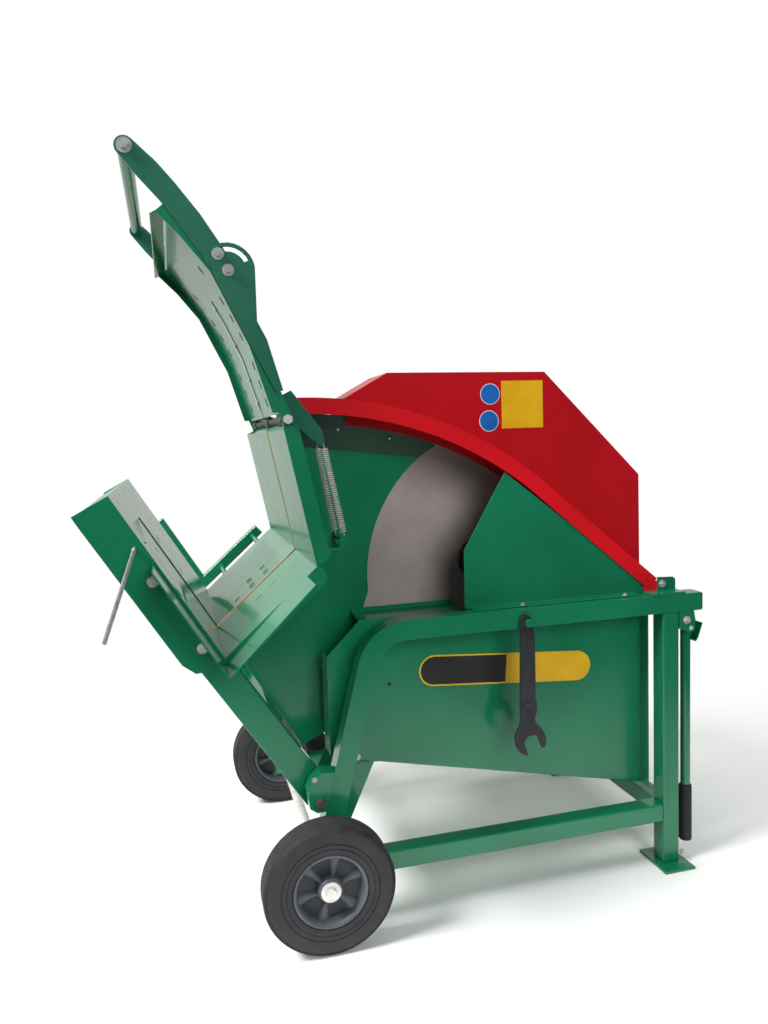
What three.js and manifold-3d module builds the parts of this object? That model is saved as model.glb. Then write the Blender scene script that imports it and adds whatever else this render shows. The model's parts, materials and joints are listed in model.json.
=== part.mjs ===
import * as THREE from 'three';
import Module from 'manifold-3d';
import { mergeVertices } from 'three/addons/utils/BufferGeometryUtils.js';

// Rocker saw for firewood. Millimetres, X along the machine, Y away from the front, Z up.

const wasm = await Module();
wasm.setup();

// Clearances and overruns
const SEAT = 0.3;
const RUN = 0.5;
const OVER = 4;
const SHEET = 3;

// Frame of square tube
const TUBE = 40;
const FAR_Y = 543;
const TOP_Z = 623.5;
const LOW_Z = 104.6;
const AXLE_X = 257;
const AXLE_Z = 130;
const LEG_LEAN = 14.75;
const LEG_DROP = 25;
const BEND_R = 85;
const LEG_X = 1038;
const RAIL_OUT = 98.5;
const RAIL_END_X = LEG_X + RAIL_OUT;
const FOOT_T = 6;
const FOOT_W = 76;
const FOOT_L = 105;
const FOOT_OUT = 35;

// Wheels
const AXLE_R = 10;
const AXLE_OUT = 90;
const WHEEL_R = 130;
const WHEEL_W = 60;
const WHEEL_GAP = 25;
const RIM_R = 74;
const HUB_R = 24;
const SPOKES = 6;
const SPOKE_W = 22;

// Rocker pivot and arms
const PIVOT_X = 258;
const PIVOT_Z = 272;
const LUG_W = 60;
const LUG_H = 60;
const LUG_OUT = 3;
const LUG_T = 38;
const ARM_W = 60;
const ARM_T = 30;
const ARM_UP = 228;
const CROSS_UP = 160;
const CROSS_W = 30;
const LUG_SHARES = [
  [-0.4333, 0.4], [-0.3667, -0.1667], [-0.1333, -0.3333], [0.1683, -0.3333], [0.5117, 0.9667],
  [0.0667, 1.0333], [-0.2333, 0.7667],
];

// Trough of folded sheet
const TROUGH_Y = -57;
const TROUGH_L = 715;
const V_X = 84;
const V_Z = 600;
const LEFT_DX = -185;
const LEFT_DZ = 308;
const FLOOR_DX = 177;
const FLOOR_DZ = 156;
const RIGHT_DX = -50;
const RIGHT_DZ = 256;
const TOP_FLANGE = 71;
const TOP_LIP = 26;
const SLOT_W = 10;
const SLOT_UP_SHARE = 0.8;
const SKIRT_LEFT_W = 248;
const SKIRT_LEFT_H = 335;
const SKIRT_LEFT_X = -164;
const SKIRT_Z = 575;
const SKIRT_FLOOR_W = 195;
const SKIRT_FLOOR_H = 181;
const SKIRT_RIGHT_W = 77;
const SKIRT_RIGHT_H = 269;
const SKIRT_LEFT_SHARES = [
  [0.0016, 0.8922], [0.254, 0.994], [1, 0.0746], [0.927, 0.0233], [0.8649, 0.0087],
  [0.7843, 0.0036], [0.6887, 0.0582], [0.0548, 0.8245],
];
const SKIRT_FLOOR_SHARES = [
  [0, 0.1381], [-0.0928, 0.0431], [0.0872, -0.0276], [1, 0.8398], [1, 0.9171], [0.9538, 0.9972],
  [0.9077, 1],
];
const SKIRT_RIGHT_SHARES = [
  [0.6494, 0], [1, 0.0621], [0.3416, 0.9974], [0, 0.9517],
];

// Ledge before the trough
const LEDGE_L = 101;
const LEDGE_W = 275;
const LEDGE_H = 192;
const LEDGE_DROP = 9;
const LEDGE_LEFT_W = 134;
const LEDGE_LEFT_H = 203;
const LEDGE_RIGHT_W = 166;
const LEDGE_RIGHT_H = 166;
const LEDGE_FOOT_DROP = 25;
const LEDGE_LEFT_DX = -134;
const LEDGE_LEFT_LIFT = 5;
const LEDGE_SHARES = [
  [0, 1], [0.4182, 0], [0.9855, 0.7812],
];
const LEDGE_LEFT_SHARES = [
  [0.1418, 1], [0, 0.8867], [0.7463, 0.0591], [0.8209, 0.0148], [0.9254, 0], [1, 0.0542],
];
const LEDGE_RIGHT_SHARES = [
  [0, 0.0964], [-0.0602, 0.0301], [0.0482, 0.006], [1.012, 0.8976], [1, 0.9458], [0.9398, 1],
];

// Sliding log support behind the trough
const SUPPORT_W = 30;
const SUPPORT_GAP = 232;
const SUPPORT_LEFT = 208;
const SUPPORT_RIGHT = 213;
const SUPPORT_ROD_R = 7;
const SUPPORT_ROD_L = 390;
const SUPPORT_ROD_SHARES = [0.24, 0.78];
const GUIDE_T = 20;
const GUIDE_W = 26;

// Length stop bar
const STOP_R = 4;
const STOP_UP = 257;
const STOP_BACK = 16.3;
const STOP_LEG = 172;
const STOP_OUT = 14;
const STOP_L = 245;
const STOP_TURN_DX = -61;
const STOP_TURN_DZ = -163.9;

// Blade, flanges and shaft
const BLADE_X = 681;
const BLADE_Z = 705;
const BLADE_Y = 205;
const BLADE_R = 350;
const BLADE_T = 3.5;
const TEETH = 42;
const TOOTH_H = 13;
const BORE_R = 15;
const FLANGE_R = 48;
const FLANGE_T = 10;
const NUT_R = 23;
const NUT_T = 16;
const SHAFT_END = 172;
const SHAFT_L = 164;
const SHAFT_TUBE_R = 30;
const SHAFT_TUBE_GAP = 22;

// Blade housing under the deck
const HOUSING_X = 296;
const HOUSING_Z = 165;
const HOUSING_W = 735;
const HOUSING_H = 450;
const HOUSING_Y = 78;
const HOUSING_FAR_Y = 329;
const HOUSING_FLANGE = 57;
const HOUSING_FLANGE_LOW = 166;
const HOUSING_FLANGE_HIGH = 378;
const FLOOR_START = 92;
const END_FLANGE = 32;
const DECK_LEFT = 73;
const DECK_STEP = 174;
const DECK_CUT = 304;
const DECK_BACK = 158;
const DECK_BACK_RIGHT = 122;
const DECK_END = 766;
const DECK_BRIDGE = 740;
const DECK_LIP = 9;
const FAR_TAB_W = 90;
const SADDLE_R = 70;
const CHUTE_X = 320;
const CHUTE_Z = 170;
const CHUTE_W = 68;
const CHUTE_H = 140;
const CHUTE_WALL = 34;
const HOUSING_SHARES = [
  [0.0993, 1], [0, 0.8422], [0, 0.3667], [0.0789, 0.3356], [1, 0.0033], [1, 1],
];
const CHUTE_SHARES = [
  [1, 1.0143], [1, 0.9929], [0.0441, 0], [0, 0.0143],
];

// Side cover over the deck
const COVER_X = 590.6;
const COVER_Z = 620.4;
const COVER_W = 448;
const COVER_H = 290;
const COVER_FOOT = 26;
const COVER_SHARES = [
  [0.0042, 0.4469], [0, 0.0283], [0.0221, 0], [1, 0], [1, 0.0497], [0.2179, 0.9986],
];

// Arched guard round the swing of the trough
const ARCH_R = 803;
const ARCH_BAND = 32;
const ARCH_START_ANGLE = 91;
const ARCH_END_ANGLE = 49.8;
const ARCH_TAIL = 357;
const ARCH_BACK = 125;
const BRACKET_W = 42;
const BRACKET_H = 26;

// Blade hood
const HOOD_X = 367;
const HOOD_Z = 615;
const HOOD_W = 692;
const HOOD_H = 512;
const HOOD_Y = 125;
const HOOD_FAR_Y = 285;
const HOOD_SHARES = [
  [0, 0.9014], [0.1335, 1], [0.6574, 0.9949], [0.9983, 0.5281], [1, 0.0006],
];
const HOOD_MOUTH_SHARES = [
  [0.8597, 0.0006], [0.8269, 0.0807], [0.7905, 0.1578], [0.7505, 0.2317], [0.7072, 0.3021],
  [0.6608, 0.3688], [0.6114, 0.4313], [0.5591, 0.4896], [0.5043, 0.5434], [0.4471, 0.5925],
  [0.3878, 0.6366], [0.3266, 0.6756], [0.2636, 0.7094], [0.1992, 0.7379], [0.1337, 0.7608],
  [0.0672, 0.7782], [0, 0.7899],
];

// Wing plates on the rocker
const WING_Y = 165;
const WING_FAR_Y = 242;
const WING_R = 335;
const WING_CX = 745;
const WING_CZ = 683;
const WING_FROM_ANGLE = 184.3;
const WING_TO_ANGLE = 121.4;
const WING_TOP_DROP = 29.8;
const WING_TOP_W = 357.3;
const WING_TOP_H = 64.6;
const WING_TOP_SHARES = [
  [0.1845, 0.9995], [0.2895, 0.9713], [0.394, 0.9149], [0.4979, 0.8307], [0.601, 0.7187],
  [0.703, 0.5793], [0.8036, 0.4127], [0.9027, 0.2193], [0.9999, -0.0003],
];
const WING_FOLD_X = 286;
const WING_FOLD_Z = 976;
const WING_FOLD_ANGLE = -6.9;
const WING_LEAN_ANGLE = 25;
const WING_X = 100;
const WING_Z = 330;
const WING_W = 320;
const WING_H = 330;
const WING_LOWER_SHARES = [
  [0.6344, 0.0667], [0.4688, 0], [0.0094, 0.7515], [-0.0219, 0.8197],
];

// Hold-down over the trough
const HINGE_X = 219;
const HINGE_Z = 1031;
const HINGE_R = 5;
const HINGE_EYE = 11;
const HOLD_X = 24;
const HOLD_Z = 1043;
const HOLD_W = 185;
const HOLD_H = 365;
const HOLD_L = 557;
const HOLD_SLOT_UP_SHARE = 0.66;
const PIN_IN = 22;
const ADJUST_X = 100;
const ADJUST_Z = 1083;
const ADJUST_W = 113;
const ADJUST_H = 252;
const ADJUST_BOLT_X = 125.2;
const ADJUST_BOLT_Z = 1293.9;
const ADJUST_SLOT_R = 36;
const ADJUST_SLOT_W = 8;
const ADJUST_SLOT_FROM_ANGLE = 26;
const ADJUST_SLOT_TO_ANGLE = 124;
const HOLD_ARM_T = 4;
const HOLD_ARM_X = -60;
const HOLD_ARM_Z = 1280;
const HOLD_ARM_W = 180;
const HOLD_ARM_H = 226;
const HANDLE_X = -37;
const HANDLE_Z = 1497;
const HANDLE_R = 12.5;
const DEFLECTOR_X = -3;
const DEFLECTOR_Z = 1389;
const DEFLECTOR_W = 23;
const DEFLECTOR_H = 13;
const LEVER_X = 216;
const LEVER_Z = 980;
const LEVER_W = 69;
const LEVER_H = 104;
const LEVER_Y = -42;
const LEVER_T = 5;
const HOLD_OUTER_SHARES = [
  [0.0016, 0.9986], [0.1297, 0.9126], [0.4422, 0.7014], [0.6103, 0.5466], [0.7897, 0.349],
  [0.9989, 0.0011],
];
const HOLD_INNER_SHARES = [
  [0.9059, 0.0025], [0.7146, 0.3304], [0.5524, 0.4997], [0.4638, 0.5956], [0.3816, 0.6811],
  [0.2897, 0.7392], [0.1222, 0.8447], [-0.0973, 0.9562],
];
const ADJUST_SHARES = [
  [-0.0358, 0.9854], [0.0476, 1.0082], [0.1404, 1.0217], [0.2377, 1.0253], [0.3342, 1.0187],
  [0.4247, 1.0023], [0.5043, 0.977], [0.5687, 0.9441], [0.6146, 0.9055], [0.6393, 0.8631],
  [0.6372, 0.7421], [0.6327, 0.4873], [0.7735, 0.3599], [0.9956, 0], [0.885, -0.0119],
  [0.531, 0.3056], [0.2478, 0.5675], [-0.0177, 0.8214],
];
const HOLD_ARM_SHARES = [
  [0.4111, 0.854], [0.57, 0.708], [0.7911, 0.4823], [0.9856, 0.2425], [1.1, 0.0752],
  [1.0111, 0.0133], [0.8972, 0.0354], [0.675, 0.2965], [0.4222, 0.5708], [0.2222, 0.7478],
  [0.061, 0.907], [0.0408, 0.9309], [0.0333, 0.9592], [0.0398, 0.9876], [0.0593, 1.012],
  [0.0888, 1.0287], [0.1241, 1.0353], [0.1599, 1.0309], [0.191, 1.0161],
];
const LEVER_SHARES = [
  [-0.058, 0.9231], [0.1928, 1.001], [1.0014, 0.2788], [1.0435, 0.0769], [0.9261, 0.0029],
  [0.3754, 0.3269], [0.1884, 0.4038],
];

// Return springs of the hold-down
const SPRING_X = 285;
const SPRING_Z = 988;
const SPRING_END_X = 318;
const SPRING_END_Z = 800;
const SPRING_PIN_R = 4;
const SPRING_PIN_L = 78;
const SPRING_FIRST_Y = -20;
const SPRING_SECOND_Y = 24;
const SPRING_WIRE_R = 1.3;
const SPRING_R = 8.7;
const SPRING_CURLS = 42;
const SPRING_NECK = 14;
const CURL_STEPS = 8;
const WIRE_SIDES = 5;
const ANCHOR_T = 4;

// Motor and belt guard behind the blade
const MOTOR_BACK = 238;
const MOTOR_X = LEG_X - MOTOR_BACK;
const MOTOR_Z = 400;
const MOTOR_R = 78;
const MOTOR_L = 222;
const FIN_COUNT = 20;
const FIN_H = 8;
const FIN_W = 4;
const GUARD_T = 30;
const GUARD_R = 47;

// Push handles at the right end
const PUSH_OUT = 70;
const PUSH_X = LEG_X + PUSH_OUT;
const PUSH_Z = 545;
const PUSH_R = 10;
const PUSH_L = 367;
const GRIP_R = 14.5;
const GRIP_L = 122;
const CHEEK_T = 4;
const CHEEK_W = 42;
const CHEEK_GAP = 13;

// Wrench on its peg
const WRENCH_X = 690;
const WRENCH_Z = 300;
const WRENCH_W = 60;
const WRENCH_H = 320;
const WRENCH_T = 5;
const WRENCH_GAP = 5;
const PEG_X = 711;
const PEG_Z = 596;
const PEG_R = 4;
const PEG_HEAD_R = 9;
const RING_X = 712.5;
const RING_Z = 401.9;
const RING_HEX_R = 9;
const WRENCH_SHARES = [
  [0.23, 0.9769], [0.4167, 0.9812], [0.5667, 0.9563], [0.5667, 0.9375], [0.4333, 0.9469],
  [0.2667, 0.9406], [0.2167, 0.9187], [0.2667, 0.8938], [0.4333, 0.875], [0.5667, 0.8812],
  [0.6033, 0.8562], [0.6033, 0.475], [0.5333, 0.4281], [0.6333, 0.375], [0.6833, 0.3187],
  [0.6, 0.2687], [0.4667, 0.2437], [0.6167, 0.1938], [0.7667, 0.1562], [0.8833, 0.125],
  [0.8833, 0.06], [0.7667, 0.0563], [0.7, 0.0938], [0.5333, 0.1156], [0.3667, 0.0969],
  [0.3167, 0.0563], [0.225, 0.0228], [0.1167, 0.0437], [0.0667, 0.1062], [0.1667, 0.1625],
  [0.2667, 0.2188], [0.1167, 0.2687], [0.0583, 0.3187], [0.1167, 0.375], [0.0783, 0.43],
  [0.0083, 0.475], [0.0083, 0.8281], [0.0783, 0.875], [0.0667, 0.9375], [0.1167, 0.9625],
];

// Paints and metals
const paint = (color, roughness, metalness) => (
  new THREE.MeshStandardMaterial({ color, roughness, metalness })
);
const GREEN = paint(0x1f6b4e, 0.32, 0.1);
const RED = paint(0xb81723, 0.3, 0.1);
const STEEL = paint(0xb9b4ab, 0.35, 0.9);
const ZINC = paint(0xc9c9c4, 0.4, 0.85);
const RUBBER = paint(0x3a393c, 0.8, 0);
const RIM = paint(0x545962, 0.5, 0.1);
const DARK = paint(0x22262a, 0.6, 0.2);

// Solids and booleans
function solidOf(geometry) {
  const plain = geometry.index ? geometry.toNonIndexed() : geometry.clone();
  plain.deleteAttribute('normal');
  plain.deleteAttribute('uv');
  const merged = mergeVertices(plain);
  return new wasm.Manifold(new wasm.Mesh({
    numProp: 3,
    vertProperties: new Float32Array(merged.attributes.position.array),
    triVerts: new Uint32Array(merged.index.array),
  }));
}

function geometryOf(solid) {
  const mesh = solid.getMesh();
  const geometry = new THREE.BufferGeometry();
  geometry.setAttribute('position', new THREE.BufferAttribute(new Float32Array(mesh.vertProperties), 3));
  geometry.setIndex(new THREE.BufferAttribute(new Uint32Array(mesh.triVerts), 1));
  return geometry;
}

function join(...pieces) {
  return geometryOf(pieces.map(solidOf).reduce((sum, piece) => sum.add(piece)));
}

function cut(base, ...tools) {
  return geometryOf(tools.map(solidOf).reduce((rest, tool) => rest.subtract(tool), solidOf(base)));
}

// Outlines in the plane of X and Z
const point = (x, z) => new THREE.Vector2(x, z);
const along = (from, way, length) => from.clone().add(way.clone().multiplyScalar(length));

function outline(shares, x, z, width, height) {
  return shares.map(([u, v]) => point(x + u * width, z + v * height));
}

function arc(cx, cz, radius, from, to, steps) {
  const points = [];
  for (let i = 0; i <= steps; i += 1) {
    const angle = THREE.MathUtils.degToRad(from + ((to - from) * i) / steps);
    points.push(point(cx + radius * Math.cos(angle), cz + radius * Math.sin(angle)));
  }
  return points;
}

function offsetPath(path, distance) {
  return path.map((p, i) => {
    const before = path[Math.max(i - 1, 0)];
    const after = path[Math.min(i + 1, path.length - 1)];
    const a = (i > 0 ? p.clone().sub(before) : after.clone().sub(p)).normalize();
    const b = (i < path.length - 1 ? after.clone().sub(p) : p.clone().sub(before)).normalize();
    const na = point(a.y, -a.x);
    const nb = point(b.y, -b.x);
    const sum = na.add(nb);
    return p.clone().add(sum.multiplyScalar((2 * distance) / sum.lengthSq()));
  });
}

function strip(path, thickness) {
  return [...path, ...offsetPath(path, thickness).reverse()];
}

// Plates across Y, bars and rods
function plate(points, y, thickness, holes = []) {
  const shape = new THREE.Shape(points);
  holes.forEach((hole) => shape.holes.push(new THREE.Path(hole)));
  const geometry = new THREE.ExtrudeGeometry(shape, { depth: thickness, bevelEnabled: false, steps: 1 });
  geometry.rotateX(Math.PI / 2);
  geometry.translate(0, y + thickness, 0);
  return geometry;
}

function box(x0, x1, y0, y1, z0, z1) {
  const geometry = new THREE.BoxGeometry(x1 - x0, y1 - y0, z1 - z0);
  geometry.translate((x0 + x1) / 2, (y0 + y1) / 2, (z0 + z1) / 2);
  return geometry;
}

function rodY(x, z, radius, y0, y1, sides = 20) {
  const geometry = new THREE.CylinderGeometry(radius, radius, y1 - y0, sides);
  geometry.translate(x, (y0 + y1) / 2, z);
  return geometry;
}

function rodZ(x, y, radius, z0, z1, sides = 20) {
  const geometry = new THREE.CylinderGeometry(radius, radius, z1 - z0, sides);
  geometry.rotateX(Math.PI / 2);
  geometry.translate(x, y, (z0 + z1) / 2);
  return geometry;
}

function rod(from, to, radius, sides = 12) {
  const way = to.clone().sub(from);
  const geometry = new THREE.CylinderGeometry(radius, radius, way.length(), sides);
  const up = new THREE.Vector3(0, 1, 0);
  const turn = new THREE.Quaternion().setFromUnitVectors(up, way.clone().normalize());
  geometry.applyQuaternion(turn);
  const middle = from.clone().add(to).multiplyScalar(1 / 2);
  geometry.translate(middle.x, middle.y, middle.z);
  return geometry;
}

function ringY(x, z, y, profile, sides) {
  const geometry = new THREE.LatheGeometry(profile.map(([r, h]) => point(r, h)), sides);
  geometry.translate(x, y, z);
  return geometry;
}

// Groups placed at their pivots
const saw = new THREE.Group();
const place = (x, y, z, parent) => {
  const group = new THREE.Group();
  group.userData.at = new THREE.Vector3(x, y, z);
  group.position.copy(group.userData.at).sub(parent.userData.at);
  parent.add(group);
  return group;
};
saw.userData.at = new THREE.Vector3(0, 0, 0);

function add(name, geometry, material, group = saw) {
  const at = group.userData.at;
  geometry.translate(-at.x, -at.y, -at.z);
  geometry.computeVertexNormals();
  const mesh = new THREE.Mesh(geometry, material);
  mesh.name = name;
  group.add(mesh);
}

// Bent frame tubes
const lean = THREE.MathUtils.degToRad(LEG_LEAN);
const legWay = point(Math.sin(lean), Math.cos(lean));
const legSide = point(legWay.y, -legWay.x);
const railZ = TOP_Z - TUBE / 2;
const legAt = (z) => AXLE_X + (z - AXLE_Z) * Math.tan(lean);
const halfTurn = (Math.PI / 2 - lean) / 2;
const bendX = legAt(railZ) + BEND_R * Math.tan(halfTurn);
const legFoot = point(AXLE_X, AXLE_Z).sub(legWay.clone().multiplyScalar(LEG_DROP));
const footRight = legFoot.clone().add(legSide.clone().multiplyScalar(TUBE / 2));
const footLeft = legFoot.clone().sub(legSide.clone().multiplyScalar(TUBE / 2));
const bendZ = railZ - BEND_R;
const BEND_STEPS = 7;
const frameOutline = [
  point(RAIL_END_X, TOP_Z - TUBE),
  point(RAIL_END_X, TOP_Z),
  ...arc(bendX, bendZ, BEND_R + TUBE / 2, 90, 180 - LEG_LEAN, BEND_STEPS),
  footLeft,
  footRight,
  ...arc(bendX, bendZ, BEND_R - TUBE / 2, 180 - LEG_LEAN, 90, BEND_STEPS),
];
const BORE_SIDES = 24;
const boreAt = (x, z, r) => arc(x, z, r, 0, 360 - 360 / BORE_SIDES, BORE_SIDES - 1);
const sideY = [0, FAR_Y];
const sideNames = ['near', 'far'];
const lowRight = (z) => legAt(z) + TUBE / 2 / Math.cos(lean) + SEAT;
const lowRail = [
  point(lowRight(LOW_Z), LOW_Z),
  point(LEG_X - SEAT, LOW_Z),
  point(LEG_X - SEAT, LOW_Z + TUBE),
  point(lowRight(LOW_Z + TUBE), LOW_Z + TUBE),
];
sideY.forEach((y, i) => {
  const side = sideNames[i];
  add(`frame_tube_${side}`, plate(frameOutline, y, TUBE, [boreAt(AXLE_X, AXLE_Z, AXLE_R + SEAT)]), GREEN);
  add(`leg_${side}`, box(LEG_X, LEG_X + TUBE, y, y + TUBE, FOOT_T + SEAT, TOP_Z - TUBE - SEAT), GREEN);
  add(`lower_rail_${side}`, plate(lowRail, y, TUBE), GREEN);
  const footX = LEG_X + TUBE / 2 - FOOT_W / 2;
  const footY = i === 0 ? y - FOOT_OUT : y + TUBE + FOOT_OUT - FOOT_L;
  add(`foot_${side}`, box(footX, footX + FOOT_W, footY, footY + FOOT_L, 0, FOOT_T), GREEN);
});
add('cross_rail', box(LEG_X, LEG_X + TUBE, TUBE + SEAT, FAR_Y - SEAT, LOW_Z, LOW_Z + TUBE), GREEN);

// Axle and wheels
const axleFar = FAR_Y + TUBE + AXLE_OUT;
add('axle', rodY(AXLE_X, AXLE_Z, AXLE_R, -AXLE_OUT, axleFar), ZINC);
const half = WHEEL_W / 2;
const treadGroove = half / 6;
const treadDeep = WHEEL_R / 40;
const bead = WHEEL_W / 12;
const tyreProfile = [
  [RIM_R, -half + bead],
  [RIM_R + bead, -half],
  [WHEEL_R * 0.86, -half],
  [WHEEL_R * 0.96, -half + bead],
  [WHEEL_R, -half + 2 * bead],
  [WHEEL_R, -treadGroove * 2],
  [WHEEL_R - treadDeep, -treadGroove * 1.5],
  [WHEEL_R, -treadGroove],
  [WHEEL_R, treadGroove],
  [WHEEL_R - treadDeep, treadGroove * 1.5],
  [WHEEL_R, treadGroove * 2],
  [WHEEL_R, half - 2 * bead],
  [WHEEL_R * 0.96, half - bead],
  [WHEEL_R * 0.86, half],
  [RIM_R + bead, half],
  [RIM_R, half - bead],
  [RIM_R, -half + bead],
];
const RIM_WALL = RIM_R / 10;
const rimProfile = [
  [RIM_R - SEAT - RIM_WALL, -half + bead],
  [RIM_R - SEAT, -half + bead],
  [RIM_R - SEAT, half - bead],
  [RIM_R - SEAT - RIM_WALL, half - bead],
  [RIM_R - SEAT - RIM_WALL, -half + bead],
];
const hubProfile = [
  [AXLE_R + RUN, -half],
  [HUB_R, -half],
  [HUB_R, half],
  [AXLE_R + RUN, half],
  [AXLE_R + RUN, -half],
];
const wheelMid = [-WHEEL_GAP - half, FAR_Y + TUBE + WHEEL_GAP + half];
const WHEEL_SIDES = 36;
wheelMid.forEach((y, i) => {
  const side = sideNames[i];
  const wheel = place(AXLE_X, y, AXLE_Z, saw);
  add(`tyre_${side}`, ringY(AXLE_X, AXLE_Z, y, tyreProfile, WHEEL_SIDES), RUBBER, wheel);
  const pieces = [
    ringY(AXLE_X, AXLE_Z, y, rimProfile, WHEEL_SIDES),
    ringY(AXLE_X, AXLE_Z, y, hubProfile, WHEEL_SIDES / 2),
  ];
  for (let s = 0; s < SPOKES; s += 1) {
    const spoke = box(HUB_R - bead, RIM_R - RIM_WALL, -half / 3, half / 3, -SPOKE_W / 2, SPOKE_W / 2);
    spoke.rotateY((s * 2 * Math.PI) / SPOKES);
    spoke.translate(AXLE_X, y, AXLE_Z);
    pieces.push(spoke);
  }
  add(`rim_${side}`, join(...pieces), RIM, wheel);
});

// Pivot lugs and pivot shaft
const lugOutline = outline(LUG_SHARES, PIVOT_X, PIVOT_Z, LUG_W, LUG_H);
const lugY = [-LUG_OUT, FAR_Y + TUBE + LUG_OUT - LUG_T];
lugY.forEach((y, i) => {
  const hole = boreAt(PIVOT_X, PIVOT_Z, AXLE_R + SEAT);
  add(`lug_${sideNames[i]}`, plate(lugOutline, y, LUG_T, [hole]), GREEN);
});
const shaftOut = LUG_OUT + AXLE_R;
add('pivot_shaft', rodY(PIVOT_X, PIVOT_Z, AXLE_R, -shaftOut, FAR_Y + TUBE + shaftOut), STEEL);

// Housing plates with their deck and flanges
const deckZ = HOUSING_Z + HOUSING_H;
const hx = (dx) => HOUSING_X + dx;
const housingOutline = outline(HOUSING_SHARES, HOUSING_X, HOUSING_Z, HOUSING_W, HOUSING_H);
const housingRight = HOUSING_X + HOUSING_W;
const nearY = HOUSING_Y;
const nearBack = HOUSING_Y + SHEET;
const deckLow = deckZ - SHEET;
const flangeZ0 = HOUSING_Z + HOUSING_FLANGE_LOW;
const flangeZ1 = HOUSING_Z + HOUSING_FLANGE_HIGH;
add('housing_near', join(
  plate(housingOutline, nearY, SHEET),
  box(HOUSING_X, HOUSING_X + SHEET, nearY, nearBack + HOUSING_FLANGE, flangeZ0, flangeZ1),
  box(hx(DECK_LEFT), hx(DECK_CUT), nearY, DECK_BACK, deckLow, deckZ),
  box(hx(DECK_STEP), hx(DECK_END), TUBE + SEAT, nearY + SHEET, deckLow, deckZ),
  box(hx(DECK_CUT) - SHEET, hx(DECK_END), nearY, DECK_BACK_RIGHT, deckLow, deckZ),
  box(hx(DECK_BRIDGE), hx(DECK_END), nearY, HOOD_FAR_Y, deckLow, deckZ),
  box(hx(DECK_LEFT), hx(DECK_CUT), DECK_BACK - SHEET, DECK_BACK, deckLow, deckZ + DECK_LIP),
  box(housingRight - SHEET, housingRight, nearY - END_FLANGE, nearBack, HOUSING_Z + SHEET, deckZ),
), GREEN);

// Far plate with its saddle and tabs to the far rail
const tabEdges = [DECK_STEP, DECK_END - FAR_TAB_W];
const saddle = plate(boreAt(BLADE_X, BLADE_Z, SADDLE_R), HOUSING_FAR_Y, SHEET);
const saddleBack = HOUSING_FAR_Y + SHEET;
const saddleFoot = box(BLADE_X - SADDLE_R, BLADE_X + SADDLE_R, HOUSING_FAR_Y, saddleBack, deckLow, BLADE_Z);
const farTabs = tabEdges.map((dx) => (
  box(hx(dx), hx(dx) + FAR_TAB_W, HOUSING_FAR_Y, FAR_Y - SEAT, deckLow, deckZ)
));
const holeEnd = HOUSING_FAR_Y + SHEET + OVER;
const shaftHole = rodY(BLADE_X, BLADE_Z, SHAFT_TUBE_R + SEAT, HOUSING_FAR_Y - OVER, holeEnd, 28);
const farTop = box(hx(DECK_STEP), hx(DECK_END), HOUSING_FAR_Y, HOUSING_FAR_Y + SHEET, deckLow, deckZ);
add('housing_far', cut(
  join(plate(housingOutline, HOUSING_FAR_Y, SHEET), farTop, saddle, saddleFoot, ...farTabs),
  shaftHole,
), GREEN);

// Housing floor with its right end wall
const floorSlope = (HOUSING_SHARES[4][1] - HOUSING_SHARES[3][1]) * HOUSING_H;
const floorRun = (HOUSING_SHARES[4][0] - HOUSING_SHARES[3][0]) * HOUSING_W;
const floorZ = (x) => {
  const start = HOUSING_X + HOUSING_SHARES[3][0] * HOUSING_W;
  return HOUSING_Z + HOUSING_SHARES[3][1] * HOUSING_H + ((x - start) * floorSlope) / floorRun;
};
const floorPath = [
  point(housingRight - SHEET, deckLow - SEAT),
  point(housingRight - SHEET, floorZ(housingRight) + SHEET),
  point(hx(FLOOR_START), floorZ(hx(FLOOR_START)) + SHEET),
];
const inNear = nearBack + SEAT;
const inFar = HOUSING_FAR_Y - SEAT;
add('housing_floor', plate(strip(floorPath, SHEET), inNear, inFar - inNear), GREEN);

// Sawdust chute
const chutePath = outline(CHUTE_SHARES, CHUTE_X, CHUTE_Z, CHUTE_W, CHUTE_H);
const chuteWall = chutePath.map((p) => p.clone());
chuteWall[2].x -= CHUTE_WALL;
chuteWall[3].x -= CHUTE_WALL;
chuteWall[1].x -= CHUTE_WALL;
add('chute', join(
  plate(strip([chutePath[2], chutePath[1]], SHEET), inNear, inFar - inNear),
  plate([chutePath[1], chutePath[2], chuteWall[2], chuteWall[1]], inNear, SHEET),
  plate([chutePath[1], chutePath[2], chuteWall[2], chuteWall[1]], inFar - SHEET, SHEET),
), GREEN);

// Triangular side cover
const coverY = TUBE + 2 * SHEET;
const coverEnd = COVER_X + COVER_W - BRACKET_W;
const seatZ = TOP_Z + SEAT;
add('side_cover', join(
  plate(outline(COVER_SHARES, COVER_X, COVER_Z, COVER_W, COVER_H), coverY, SHEET),
  box(COVER_X + SHEET * 4, coverEnd, coverY - COVER_FOOT, coverY + SHEET, seatZ, seatZ + SHEET),
), GREEN);

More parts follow.
